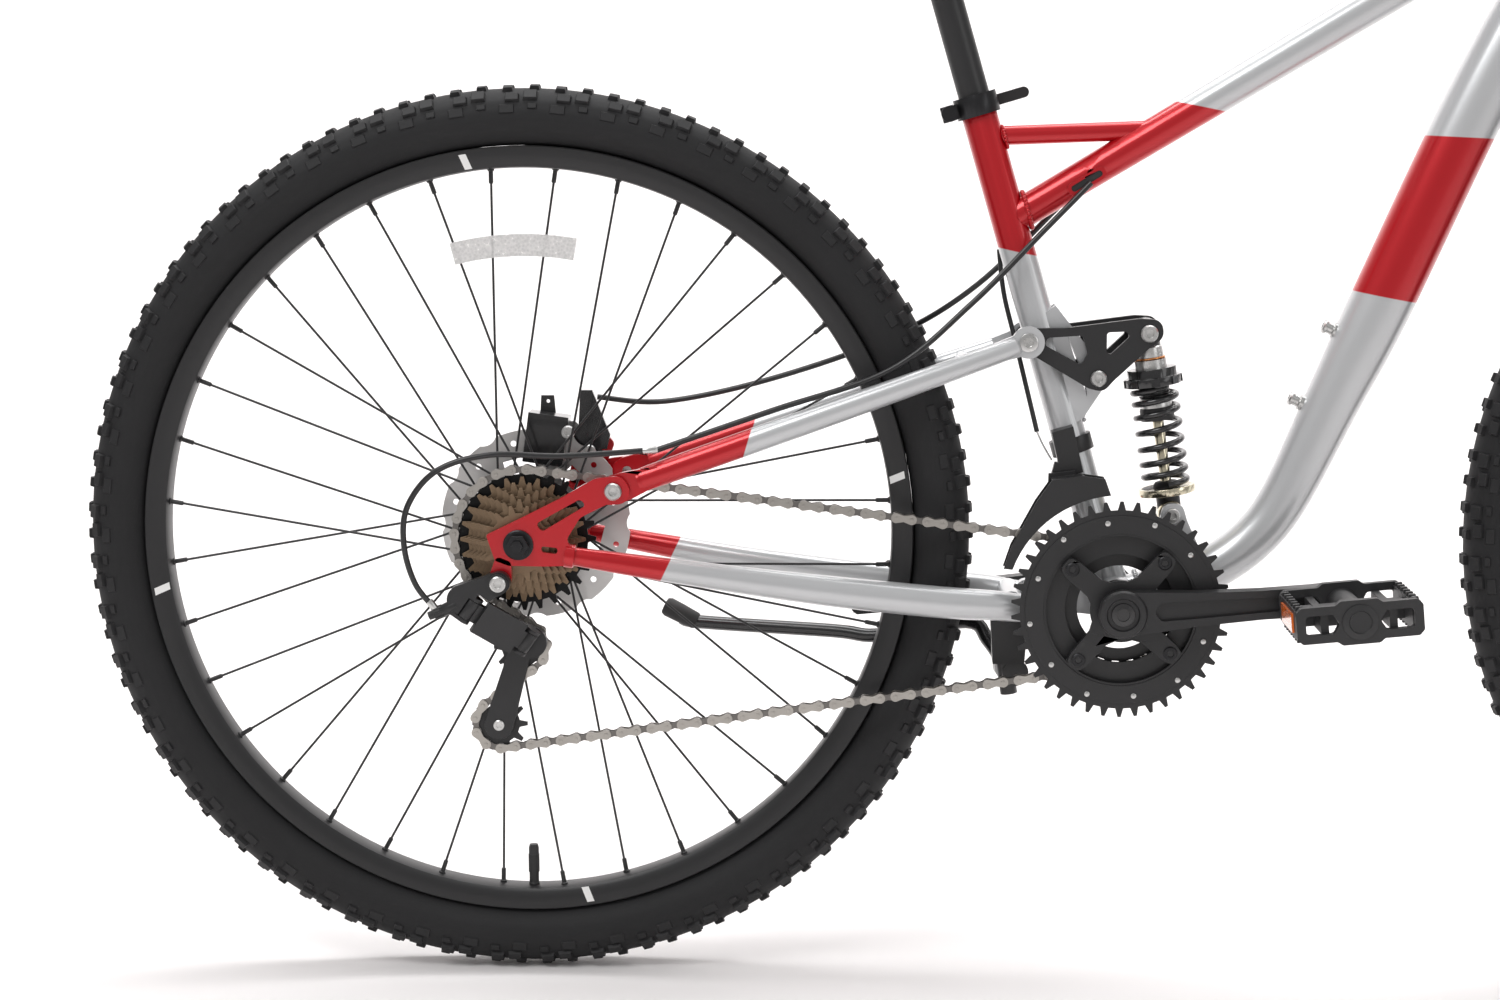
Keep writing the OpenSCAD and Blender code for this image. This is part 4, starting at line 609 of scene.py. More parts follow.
# ---------- frame ----------
def line_points(points, steps=6):
    """Points of (x, z, radius) in the middle plane, smoothed, as 3-D points and radii."""
    c = curve_points(points, steps)
    return [(p[0], 0, p[1]) for p in c], [p[2] for p in c]


down = [(BB[0] + 12, BB[1] + 2, 17.4), (BB[0] + 45, BB[1] + 11, 17.8), (BB[0] + 79.6, BB[1] + 25.4, 18.3),
        (BB[0] + 112, BB[1] + 49.5, 18.8), (BB[0] + 137.5, BB[1] + 84, 19.8),
        (BB[0] + 175, BB[1] + 163.6, 22.4),
        (BB[0] + 211.5, BB[1] + 241.4, 25.3), (BB[0] + 290, BB[1] + 415, 25.3),
        (BB[0] + 345, BB[1] + 508, 23.5), (*steer_line(545, -4), 19.5), (*steer_line(546, 6), 18.2)]
pts, radii = line_points(down, 8)
b = Build()
b.add(*tube_mesh(pts, radii, 40))
for s in (-1, 1):
    ear = fillet([plus(SHOCK_LOW, -10, -2), plus(SHOCK_LOW, -7, 10), plus(SHOCK_LOW, 8, 10),
                  plus(SHOCK_LOW, 12, -4), plus(BB, 74, 28), plus(BB, 24, 12)], [6, 8, 8, 4, 2, 2])
    b.add(*plate_mesh(ear, s * 17 - 3, s * 17 + 3, [circle(SHOCK_LOW, 4.05, 20)]))
b.done("down_tube_shell", paint_down, "frame", "frame_paint", ("down_tube",), bevel=0.5)


# welded beads where the tubes meet
def bead(name, centre, normal, radius, squash, material, size=2.1):
    """String of small overlapping weld scales round a tube joint."""
    n = Vector(normal).normalized()
    u = n.cross(Vector((0, 1, 0))).normalized()
    w = Vector((0, 1, 0))
    w = (w - n * w.dot(n)).normalized()
    total = int(2 * math.pi * radius / 2.6)
    b = Build()
    for k in range(total):
        a = 2 * math.pi * k / total
        p = Vector(centre) + u * math.cos(a) * radius * squash + w * math.sin(a) * radius
        t = (-u * math.sin(a) * squash + w * math.cos(a)).normalized()
        prof = [(0.3, -size), (size * 0.8, -size * 0.55), (size, 0), (size * 0.8, size * 0.55), (0.3, size)]
        b.add(*turned(prof, along(p, p + t), 8))
    b.done(name, material, "frame", "frame_paint", sharp=70)


tt_a, tt_b = seat_line(322), steer_line(598)
tt_dir = Vector((tt_b[0] - tt_a[0], tt_b[1] - tt_a[1])).normalized()
seat_dir = Vector((-math.cos(SEAT), math.sin(SEAT)))
SEAT_NORMAL = (0.9613, 0, 0.2756)
bead("weld_top_tube", v3(plus(tt_a, *(tt_dir * 17))), SEAT_NORMAL, 13.3, 1.12, paint_red)
strut_a = seat_line(392.7)
bead("weld_strut", v3(plus(strut_a, 15.6, -0.5)), SEAT_NORMAL, 8.6, 1.02, paint_red, size=1.6)
bead("weld_bottom", v3(plus(BB, 19.5, 4.4)), (1, 0, 0.2), 18.4, 1.0, paint_white)
bead("weld_head_low", v3(steer_line(545, -17)), (0.94, 0, 0.33), 18.6, 1.2, paint_white)

# weld scales along the seat tube on both sides of the open gusset
gusset = Build()
for k in range(26):
    p = seat_line(150 + 3.4 * k, 15.0)
    for s in (-1, 1):
        gusset.add(*turned([(0.3, -1.8), (1.7, -0.9), (2.0, 0), (1.7, 0.9), (0.3, 1.8)],
                           along((p[0], s * 8.6, p[1]), (p[0] + seat_dir.x, s * 8.6, p[1] + seat_dir.y)), 8))
gusset.done("weld_gusset", paint_white, "frame", "frame_paint", sharp=70)

# cable port on both faces of the top tube
PORT = (-109.2, 654.0)
port = Build()
for s in (-1, 1):
    ring, hole = (fillet([(PORT[0] + tt_dir.x * a - tt_dir.y * e, PORT[1] + tt_dir.y * a + tt_dir.x * e)
                          for a, e in ((-x, -z), (x, -z), (x, z), (-x, z))], r, 8)
                  for x, z, r in ((17, 5, 4.9), (14, 2.6, 2.5)))
    port.add(*plate_mesh(ring, s * 13.5 - 1.2, s * 13.5 + 1.2, [hole]), 0)
    port.add(*plate_mesh(hole, s * 13.1 - 0.6, s * 13.1 + 0.6), 1)
port.done("cable_port", [paint_red, black_matte], "frame", "red_paint", bevel=0.4)

# bottle cage bolts with domed heads
bottle = Build()
for p in ((BB[0] + 142.8, BB[1] + 164.3), (BB[0] + 168.9, BB[1] + 222.8)):
    a = (p[0] - 0.9, 0, p[1] + 0.4)
    tip = (a[0] - 0.911, 0, a[2] + 0.412)
    bottle.add(*turned([(6.4, -10), (6.4, -6.2), (4.7, -5.4), (4.7, -1.2), (5.9, -0.8), (5.9, 1.4),
                        (4.6, 2.6),
                        (2.3, 2.6), (2.1, 0.4), (0.1, 0.3)], along(a, tip), 24))
bottle.done("bottle_bolt_heads", steel, "frame", "bright_steel")


# ---------- rear triangle ----------
def mirror_y(data, s):
    verts, faces = data
    if s > 0:
        return data
    return [(v[0], -v[1], v[2]) for v in verts], [tuple(f[::-1]) for f in faces]


stays = Build()
for s in (-1, 1):
    c = curve_points([(REAR[0] + 36, 68.5, REAR[1] - 8.8, 7.2), (REAR[0] + 75, 65.5, REAR[1] - 15, 8.6),
                      (REAR[0] + 120, 60.5, REAR[1] - 22.4, 9.8), (REAR[0] + 185, 53, REAR[1] - 32.5, 11.2),
                      (REAR[0] + 260, 47.5, REAR[1] - 42.5, 12.6), (REAR[0] + 340, 44, REAR[1] - 51, 13.0),
                      (REAR[0] + 380, 40, REAR[1] - 54, 12.4), (BB[0] - 78, 34, BB[1] - 2.5, 11.6),
                      (BB[0] - 62, 31, BB[1] - 0.5, 11.0)], 5)
    stays.add(*mirror_y(tube_mesh([p[:3] for p in c], [p[3] for p in c], 28, (1.0, 0.92)), s))
    lug = fillet([plus(MAIN_PIVOT, 10, 10), plus(MAIN_PIVOT, 13, -4), plus(MAIN_PIVOT, 4, -13),
                  plus(MAIN_PIVOT, -30, -15), plus(MAIN_PIVOT, -34, 8), plus(MAIN_PIVOT, -6, 13)], 7)
    stays.add(*mirror_y(plate_mesh(lug, 24.4, 35, [circle(MAIN_PIVOT, 6.1, 24)]), s))
bridge = [(BB[0] - 86, y, BB[1] + 2) for y in (-34, -20, 0, 20, 34)]
stays.add(*tube_mesh(bridge, 9, 24))
stays.done("chainstay_tubes", paint_chainstay, "swingarm", "frame_paint", ("chainstays",), bevel=0.6)

DROP = [(-26, 8), (-19, -13), (-8, -17), (20, -17.5), (41, -17), (47, -5), (38, 3), (50, 22), (72, 33),
        (86, 33),
        (91, 43), (84, 56), (62, 53.5), (33, 37), (5, 23)]
drops = Build()
for s in (-1, 1):
    outline = fillet([plus(REAR, *q) for q in DROP], [2, 4, 4, 10, 5, 5, 5, 8, 10, 9, 12, 12, 14, 20, 20])
    upper = fillet([plus(REAR, *q) for q in ((14, 17), (19, 10.5), (55, 32), (50, 37))], 3.2)
    lower = fillet([plus(REAR, *q) for q in ((18, -1), (19, -6), (31, -7.5), (32, -2.5))], 2.4)
    holes = [circle(REAR, 5.2), circle(STAY_PIVOT, 4.1), upper, lower]
    drops.add(*mirror_y(plate_mesh(outline, 67.6, 73.4, holes), s))
    # round socket where the stay is welded to the plate
    drops.add(*mirror_y(turned([(9.6, 0), (9.6, 7), (8.6, 8)],
                               along((REAR[0] + 37, 69.0, REAR[1] - 9), (REAR[0] + 75, 66, REAR[1] - 15)),
                               24), s))
hang = fillet([plus(REAR, -18, -9), plus(REAR, -6, -14), plus(HANGER, 9.5, 2), plus(HANGER, 6, -8),
               plus(HANGER, -6, -8), plus(HANGER, -9.5, 2)], 4)
drops.add(*plate_mesh(hang, -73.4, -67.6, [circle(HANGER, 4.6, 20)]))
tab = fillet([plus(REAR, *q) for q in ((24, 27), (58, 46), (66, 66), (58, 76), (34, 70))], 5)
drops.add(*plate_mesh(tab, 67.6, 73.4, [circle(plus(REAR, 48, 64), 3)]))
drops.done("dropout_plates", paint_red, "swingarm", "red_paint", bevel=0.8)

stay = Build()
d = Vector((ROCKER_REAR[0] - STAY_PIVOT[0], ROCKER_REAR[1] - STAY_PIVOT[1])).normalized()
rear_end = plus(STAY_PIVOT, d.x * 30, d.y * 30)
front_end = plus(ROCKER_REAR, -d.x * 21, -d.y * 21)
for s in (-1, 1):
    c = curve_points([(rear_end[0] - d.x * 6, 60.8, rear_end[1] - d.y * 6, 8.0),
                      (rear_end[0], 60, rear_end[1], 9.8),
                      (rear_end[0] + d.x * 80, 54.5, rear_end[1] + d.y * 80, 10.2),
                      (rear_end[0] + d.x * 200, 45, rear_end[1] + d.y * 200, 9.5),
                      (front_end[0], 34, front_end[1], 8.2),
                      (front_end[0] + d.x * 8, 31, front_end[1] + d.y * 8, 7.0)], 6)
    stay.add(*mirror_y(tube_mesh([p[:3] for p in c], [p[3] for p in c], 28, (1.0, 0.92)), s))
    # clevis plates at the rear with a pinched waist, and round eyes at the rocker
    n = Vector((-d.y, d.x))
    tail = [(-12, 5), (-9, 9.5), (0, 12), (12, 11.2), (26, 9.0), (40, 8.0)]
    outline = [plus(STAY_PIVOT, d.x * a + n.x * w, d.y * a + n.y * w) for a, w in tail]
    outline += [plus(STAY_PIVOT, d.x * a - n.x * w, d.y * a - n.y * w) for a, w in tail[::-1]]
    stay.add(*mirror_y(plate_mesh(fillet(outline, 5), 61.1, 66.9, [circle(STAY_PIVOT, 4.0, 20)]), s))
    eye = circle(ROCKER_REAR, 13.0, 36)
    stay.add(*mirror_y(plate_mesh(eye, 25.2, 32.8, [circle(ROCKER_REAR, 5.35, 24)]), s))
    arm = [plus(ROCKER_REAR, -d.x * a + n.x * w, -d.y * a + n.y * w) for a, w in ((6, 9), (26, 8))]
    arm += [plus(ROCKER_REAR, -d.x * a - n.x * w, -d.y * a - n.y * w) for a, w in ((26, 8), (6, 9))]
    stay.add(*mirror_y(plate_mesh(arm, 25.6, 32.6), s))
bx = plus(ROCKER_REAR, -51, -18)
stay.add(*tube_mesh([(bx[0], y, bx[1]) for y in (-38, -20, 0, 20, 38)], 6.5, 20))
stay.done("seatstay_tubes", paint_seatstay, "seatstay", "frame_paint", ("seatstays",), bevel=0.6)
pins = Build()
for s in (-1, 1):
    socket_head(pins, STAY_PIVOT, s * 73.9, s, 7.0, 4.0)
    socket_head(pins, ROCKER_REAR, s * 32.9, s, 7.6, 1.6)
pins.done("stay_bolt_heads", steel, "seatstay", "bright_steel")


# ---------- rocker ----------
rocker = Build()
ROCK = [plus(ROCKER_REAR, -11, -2), plus(ROCKER_REAR, -5, 10.5), plus(ROCKER_REAR, 30, 11),
        plus(ROCKER_FRONT, -8, 12), plus(ROCKER_FRONT, 10, 11), plus(ROCKER_FRONT, 12, -3),
        plus(ROCKER_FRONT, 0, -12), plus(ROCKER_FRAME, 12, -2),
        plus(ROCKER_FRAME, 4, -11), plus(ROCKER_FRAME, -8, -8), plus(ROCKER_REAR, 4, -11)]
window_a = [plus(ROCKER_REAR, *q) for q in ((16, 3.2), (44, 5), (48, -10), (43, -19), (13, -2.6))]
window_b = [plus(ROCKER_FRONT, *q) for q in ((-34, 1), (-19, 1.6), (-15, -2), (-31, -17), (-34, -15))]
for s in (-1, 1):
    outline = fillet(ROCK, [9, 9, 20, 14, 9, 9, 16, 16, 9, 9, 9])
    holes = [fillet(window_a, 3.4), fillet(window_b, 2.6), circle(ROCKER_REAR, 4.1, 20),
             circle(ROCKER_FRAME, 4.2, 20), circle(ROCKER_FRONT, 4.1, 20)]
    rocker.add(*mirror_y(plate_mesh(outline, 18.1, 24.4, holes), s))
rib = [plus(ROCKER_FRONT, *q) for q in ((-30, 7), (-8, 8), (-8, 4), (-30, 3))]
rocker.add(*plate_mesh(fillet(rib, 1.8), -18.3, 18.3))
rocker.done("rocker_plates", black_satin, "rocker_link", "anodised_black", ("rocker",), bevel=1.3)
heads = Build()
for s in (-1, 1):
    socket_head(heads, ROCKER_FRONT, s * 24.4, s, 7.0, 3.6)
heads.add(*tube_mesh([v3(ROCKER_FRONT, y) for y in (-24, 24)], 3.9, 20))
heads.add(*tube_mesh([v3(ROCKER_REAR, y) for y in (-33, 33)], 3.9, 20))
heads.done("rocker_bolt_heads", steel, "rocker_link", "bright_steel", ("rocker_bolts",))
heads = Build()
for s in (-1, 1):
    socket_head(heads, ROCKER_FRAME, s * 24.6, s, 6.6, 3.6)
    socket_head(heads, SHOCK_LOW, s * 20.2, s, 6.2, 3.6)
    socket_head(heads, MAIN_PIVOT, s * 35.2, s, 8.6, 3.0)
for c, w, r in ((ROCKER_FRAME, 24.5, 3.9), (SHOCK_LOW, 20, 3.9), (MAIN_PIVOT, 35, 5.9)):
    heads.add(*tube_mesh([v3(c, y) for y in (-w, w)], r, 20))
heads.done("frame_bolt_heads", steel, "frame", "bright_steel", ("frame_bolts",))

# ---------- shock ----------
low = v3(SHOCK_LOW)
axis = (v3(ROCKER_FRONT) - low)
shock_len = axis.length
axis.normalize()
shock = along(low, low + axis)
coil = []
turns, r, z0, z1 = 7, 17.4, 24.7, shock_len - 46.7
steps = turns * 28
for k in range(steps + 1):
    t = k / steps
    # the end turns lie closed against their seats
    u = t - 0.035 * math.sin(2 * math.pi * t)
    a = 2 * math.pi * turns * t
    coil.append(shock @ Vector((r * math.cos(a), r * math.sin(a), z0 + (z1 - z0) * u)))
b = Build()
b.add(*tube_mesh(coil, 2.6, 14))
b.done("shock_coil", black_gloss, "shock_lower", "black_paint", ("shock_spring",), sharp=60)
b = Build()
for h, rr, hh, i in ((shock_len - 33.5, 12.9, 2.6, 0), (shock_len - 22.5, 12.7, 1.6, 0),
                     (shock_len - 30.8, 12.95, 8.2, 1)):
    b.add(*turned([(rr - 1, h), (rr, h + 0.4), (rr, h + hh - 0.4), (rr - 1, h + hh)], shock, 40), i)
b.add(*turned([(11.2, shock_len - 22), (11.4, shock_len - 20), (11.0, shock_len - 13), (9.0, shock_len - 11)],
              shock, 40), 1)
b.done("shock_top_cap", [copper, steel], "shock_upper", "bright_steel")
b = Build()
for k in range(8):
    a = 2 * math.pi * k / 8
    c = shock @ Vector((22.2 * math.cos(a), 22.2 * math.sin(a), shock_len - 40.5))
    m = shock.to_3x3() @ Matrix.Rotation(a, 3, "Z")
    b.add(*block_mesh(c, (3.4, 7.0, 6.4), m, 0.9))
for k in range(9):
    h = shock_len - 60 + k * 2.1
    b.add(*turned([(12.3, h), (12.95, h + 0.7), (12.95, h + 1.1), (12.3, h + 1.8)], shock, 40))
b.done("shock_preload_ring", black_gloss, "shock_upper", "anodised_black", bevel=0.4)
b = Build()
b.add(*turned([(13.6, 77.5), (13.9, 78.5), (13.9, 86), (13.0, 88)], shock, 40), 0)
b.add(*turned([(13.05, 88), (13.05, 95), (12.5, 96)], shock, 40), 1)
b.done("shock_seal_head", [black_satin, steel], "shock_upper", "anodised_black")
b = Build()
b.add(*turned([(9.6, 0), (9.7, 14), (15.5, 16), (22.6, 16.5), (23.0, 18), (23.0, 21), (20.4, 22), (12, 22),
               (9, 26), (5, 27)], shock, 40))
b.done("shock_lower_seat", black_satin, "shock_lower", "anodised_black", sharp=40)


# ---------- drivetrain ----------
def rot(p, c, a):
    dx, dz = p[0] - c[0], p[1] - c[1]
    return (c[0] + dx * math.cos(a) - dz * math.sin(a), c[1] + dx * math.sin(a) + dz * math.cos(a))


def crank_arm(tag, end, s, body):
    """Forged arm with a long groove in its outer face, round boss and pedal eye."""
    ang = math.atan2(end[1] - BB[1], end[0] - BB[0])
    shape = [(-14, 11), (6, 17.5), (30, 15.8), (60, 13.4), (110, 11.6), (150, 11.8), (168, 12.6), (182, 7)]
    shape += [(x, -z) for x, z in shape[::-1]]
    groove = [(30, 7.6), (60, 7.2), (110, 6.0), (142, 5.4), (148, 0), (142, -5.4), (110, -6.0), (60, -7.2),
              (30, -7.6), (25, 0)]
    place = lambda pts: [rot((BB[0] + x, BB[1] + z), BB, ang) for x, z in pts]
    outline = fillet(place(shape), [10, 12, 40, 60, 60, 40, 12, 8, 8, 12, 40, 60, 60, 40, 12, 10], 6)
    b = Build()
    b.add(*mirror_y(plate_mesh(outline, 66.4, 77.0), s))
    b.add(*mirror_y(plate_mesh(outline, 77.0, 81.6, [fillet(place(groove), 4, 5)]), s))
    b.add(*turned([(19.5, -5), (19.5, 2.0), (18.0, 4.0), (13.4, 4.4), (12.6, 3.2), (12.4, 1.8), (0.1, 1.6)],
                  facing(BB, s * 80.0, s), 48), 0)
    b.add(*turned([(9.6, 0), (9.2, 1.2), (5.2, 1.5), (4.9, -3.0), (0.1, -3.2)],
                  facing(BB, s * 81.9, s), 36), 1)
    b.add(*turned([(12.0, -4), (11.6, 0.8), (8.0, 1.4)], facing(end, s * 81.6, s), 36), 0)
    b.add(*turned([(7.4, 0), (7.4, 3.0), (6.4, 4.0), (5.4, 9.5)], facing(end, s * 82.6, s), 24), 2)
    b.done("crank_arm_" + tag, [black_satin, black_gloss, steel], body, "anodised_black", bevel=1.5)


crank_arm("right", CRANK_END, -1, "crank")
crank_arm("left", CRANK_END_LEFT, 1, "crank")
b = Build()
spider = []
for i in range(4):
    a = CRANK + math.radians(45 + 90 * i)
    for da, rr in ((-36, 23), (-17, 30), (-9, 52), (-6, 60), (6, 60), (9, 52), (17, 30), (36, 23)):
        spider.append(polar(BB, rr, a + math.radians(da)))
b.add(*plate_mesh(fillet(spider, 5), -66.3, -61.0, [circle(BB, 13, 40)]), 0)
b.add(*turned([(25, -66), (25, -61), (21, -59)], across(BB), 48), 0)
b.add(*tube_mesh([(BB[0], y, BB[1]) for y in (-66, 66)], 8.4, 24), 1)
for i in range(4):
    a = CRANK + math.radians(45 + 90 * i)
    socket_head(b, polar(BB, 52, a), -66.0, -1, 5.6, 1.8, 1)
b.done("crank_spider", [black_satin, anodised], "crank", "anodised_black", ("crank_right", "crank_left"),
       bevel=0.9)
# flat band and rivets of the rings
b = Build()
band = [circle(BB, 76.5, 120), circle(BB, 62, 100)]
b.add(*plate_mesh(band[0], -58.9, -57.9, [band[1]]), 0)
for k in range(12):
    a = math.radians(30 * k + 9)
    p = polar(BB, 71 if k % 2 else 73.5, a)
    b.add(*turned([(2.2, 0), (2.2, 0.6), (1.4, 1.0), (0.1, 1.0)], facing(p, -58.9, -1), 14), 1)
b.done("ring_band", [black_satin, steel], "crank", "black_paint", bevel=0.25)


def pedal(tag, centre, s, body):
    """Caged pedal: outer plates with windows, toothed bars, reflectors and axle boss."""
    tilt = Matrix.Translation((centre[0], s * 136, centre[1])) @ Matrix.Rotation(math.radians(-5.3), 4, "Y")
    b = Build()
    side = fillet([(-48, -10), (-44, -14), (-18, -14), (-14, -17), (14, -17), (18, -14), (44, -14),
                   (48, -10), (48, 10),
                   (44, 14), (18, 14), (14, 17), (-14, 17), (-18, 14), (-44, 14), (-48, 10)], 3)
    windows = [fillet([(-41, -7.5), (-20, -7.5), (-15.5, 0), (-20, 7.5), (-41, 7.5)], 3),
               fillet([(41, -7.5), (20, -7.5), (15.5, 0), (20, 7.5), (41, 7.5)], 3)]
    for y in (-45, 38):
        b.add(*plate_mesh(side, y, y + 7, windows, tilt), 0)
    m3 = tilt.to_3x3()
    for x in (-44, 44):
        b.add(*block_mesh(tilt @ Vector((x, 0, 0)), (7, 78, 22), m3), 0)
        for k in range(7):
            for z in (-1, 1):
                b.add(*block_mesh(tilt @ Vector((x, -33 + 11 * k, z * 12.2)), (6, 5, 3.4), m3, 0.8), 0)
    for x in (-26, 26):
        b.add(*block_mesh(tilt @ Vector((x, 0, 0)), (6, 78, 16), m3), 0)
    b.add(*block_mesh(tilt @ Vector((0, 0, 0)), (86, 10, 15), m3), 0)
    b.add(*turned([(13.5, -46), (13.5, -40), (11.5, -36), (11.5, 36), (13.5, 40), (13.5, 46), (9, 47),
                   (8.2, 46),
                   (0.1, 45.8)], tilt @ Matrix.Rotation(math.radians(-90 * s), 4, "X"), 36), 0)
    for x in (-1, 1):
        b.add(*block_mesh(tilt @ Vector((x * 48.2, 0, 0)), (2.0, 52, 15), m3), 1)
    b.done("pedal_cage_" + tag, [plastic, amber], body, "black_plastic", ("pedal_" + tag,), bevel=0.7)


pedal("right", CRANK_END, -1, "pedal_r")
pedal("left", CRANK_END_LEFT, 1, "pedal_l")


# ---------- chain ----------
CHAIN_PITCH = 12.7
GUIDE = plus(REAR, -3, -90)
TENSION = plus(REAR, -22, -154)


def pitch_r(n):
    return CHAIN_PITCH / 2 / math.sin(math.pi / n)


def chain_path():
    """Centreline of the chain, sampled finely: inner ring, largest cog, guide and tension pulleys."""
    ring, cog, pul = pitch_r(24), pitch_r(28), pitch_r(10)
    guide, tens = GUIDE, TENSION
    head = lambda a, b: math.atan2(b[1] - a[1], b[0] - a[0])
    dist = lambda a, b: math.hypot(b[0] - a[0], b[1] - a[1])
    top = head(BB, REAR) - math.acos((ring - cog) / dist(REAR, BB))
    off = head(REAR, guide) - math.acos((cog + pul) / dist(guide, REAR))
    gof = head(guide, tens) + math.acos(2 * pul / dist(guide, tens))
    low = head(tens, BB) - math.acos((pul - ring) / dist(BB, tens))
    path = []

    def arc(c, y, r, a0, a1):
        n = max(4, int(abs(a1 - a0) * r / 2))
        for k in range(n + 1):
            a = a0 + (a1 - a0) * k / n
            path.append(Vector((c[0] + r * math.cos(a), y, c[1] + r * math.sin(a))))

    tau = 2 * math.pi

    def onward(a, start, sign):
        while (a - start) * sign < 0:
            a += sign * tau
        return a

    # counter-clockwise round the ring from the lower run to the upper run, then round the cog
    arc(BB, -43, ring, low, onward(top, low, 1))
    arc(REAR, -36, cog, top, onward(off, top, 1))
    start = off + math.pi
    arc(guide, -36, pul, start, onward(gof, start, -1))
    start = gof + math.pi
    arc(tens, -36, pul, start, onward(low, start, 1))
    path.append(path[0])
    return path


path = chain_path()
length = [0.0]
for a, c in zip(path, path[1:]):
    length.append(length[-1] + (c - a).length)
links = 2 * round(length[-1] / CHAIN_PITCH / 2)
step = length[-1] / links


def on_path(s):
    s = s % length[-1]
    lo, hi = 0, len(length) - 1
    while hi - lo > 1:
        mid = (lo + hi) // 2
        if length[mid] <= s:
            lo = mid
        else:
            hi = mid
    t = (s - length[lo]) / max(1e-6, length[hi] - length[lo])
    return path[lo].lerp(path[hi], t)


b = Build()
for k in range(links):
    p, q = on_path(k * step), on_path((k + 1) * step)
    d = q - p
    ang = math.atan2(d.z, d.x)
    half = d.length / 2
    outline = []
    r = 4.15 if k % 2 else 3.7
    for j in range(9):
        a = math.radians(90 + 180 * j / 8)
        outline.append((-half + r * math.cos(a), r * math.sin(a)))
    outline.append((0, -2.5 if k % 2 else -2.2))
    for j in range(9):
        a = math.radians(-90 + 180 * j / 8)
        outline.append((half + r * math.cos(a), r * math.sin(a)))
    outline.append((0, 2.5 if k % 2 else 2.2))
    mid = (p + q) / 2
    place = Matrix.Translation(mid) @ Matrix.Rotation(-ang, 4, "Y")
    y = 2.9 if k % 2 else 1.75
    for s in (-1, 1):
        y0, y1 = sorted((s * y, s * (y + 0.95)))
        b.add(*plate_mesh(outline, y0, y1, (), place), 0 if k % 2 else 1)
    pin = across((p.x, p.z), p.y)
    b.add(*turned([(0.1, -4.3), (1.5, -4.2), (1.7, -3.9), (1.7, 3.9), (1.5, 4.2), (0.1, 4.3)], pin, 10), 0)
    b.add(*turned([(3.0, -1.7), (3.9, -1.6), (3.9, 1.6), (3.0, 1.7)], pin, 14), 1)
b.done("chain_links", [chain_steel, chain_dark], "frame", "chain_steel", ("chain",), sharp=40)


# ---------- cables ----------
def hose(name, points, r, slot="black_plastic", nodes=(), material=cable_skin):
    b = Build()
    b.add(*tube_mesh(curve_points(points, 10), r, 14))
    b.done(name, material, "frame", slot, nodes, sharp=60)


def route(origin, pts):
    """3-D points from (x, z, y) offsets beside a side-view point."""
    return [(origin[0] + x, y, origin[1] + z) for x, z, y in pts]


gear_loop = route(REAR, [(110, 76, -66), (36, 72, -76), (-20, 74, -84), (-62, 62, -88), (-86, 34, -88),
                         (-90, 2, -87),
                       (-82, -30, -84), (-66, -52, -80)])
hose("cable_rear_gear_loop", gear_loop, 2.4, nodes=("cables",))
hose("cable_rear_gear", route(BB, [(-376, 128, -58), (-280, 160, -48), (-185, 192, -40), (-120, 244, -30),
                                 (-60, 304, -22), (-24, 340, -15.5)]), 2.4)
hose("cable_rear_brake", route(REAR, [(52, 106, 63), (110, 102, 66), (200, 122, 56), (300, 158, 44),
                                      (370, 202, 24),
                                    (440, 270, 20), (462, 290, 15.5)]), 2.4)
hose("cable_front_gear", route(BB, [(-96, 286, 12), (-92, 250, 8), (-82, 208, -4), (-66, 140, -22)]), 2.0)
hose("cable_front_gear_wire", route(BB, [(-66, 140, -22), (-61, 129, -23), (-54, 117, -24)]), 0.8,
     slot="bright_steel", material=steel)
ferrules = Build()
for a, c in ((gear_loop[-1], gear_loop[-2]), (gear_loop[0], gear_loop[1])):
    ferrules.add(*turned([(2.6, -2), (3.1, -1), (3.1, 9), (2.6, 10)], along(a, c), 18))
ferrules.done("cable_ferrules", steel, "frame", "bright_steel")

# ---------- kickstand ----------
KICK = (BB[0] - 88, BB[1] - 62)
hub = Matrix.Translation((KICK[0], 26, KICK[1])) @ Matrix.Rotation(math.radians(12.4), 4,
                                                                   "Z") @ Matrix.Rotation(
    math.radians(-90), 4, "X")
leg = [(KICK[0], 26, KICK[1]), (KICK[0] - 14, 35, KICK[1] + 20), (KICK[0] - 32, 45, KICK[1] + 34),
       (REAR[0] + 290, 54, REAR[1] - 96), (REAR[0] + 250, 64, REAR[1] - 94),
       (REAR[0] + 136, 88, REAR[1] - 91),
       (REAR[0] + 122, 90.5, REAR[1] - 87)]
b = Build()
b.add(*tube_mesh(curve_points(leg, 6), 6.0, 20), 0)
b.add(*turned([(9.0, -7.6), (10.0, -6.6), (10.0, 3.2), (9.0, 4.0), (4.4, 4.0), (4.0, 2.6), (0.1, 2.6)], hub,
              32), 0)
tip = Vector((REAR[0] + 106, 93, REAR[1] - 77.5))
base = Vector((REAR[0] + 132, 88.5, REAR[1] - 90))
n = (tip - base).length
b.add(*turned([(6.4, -2), (7.4, 0), (8.2, n * 0.5), (8.4, n - 3), (7.0, n), (0.1, n)], along(base, tip),
              24), 1)
b.done("kickstand_bar", [black_gloss, soft_rubber], "kickstand", "black_paint", ("kickstand_leg",))

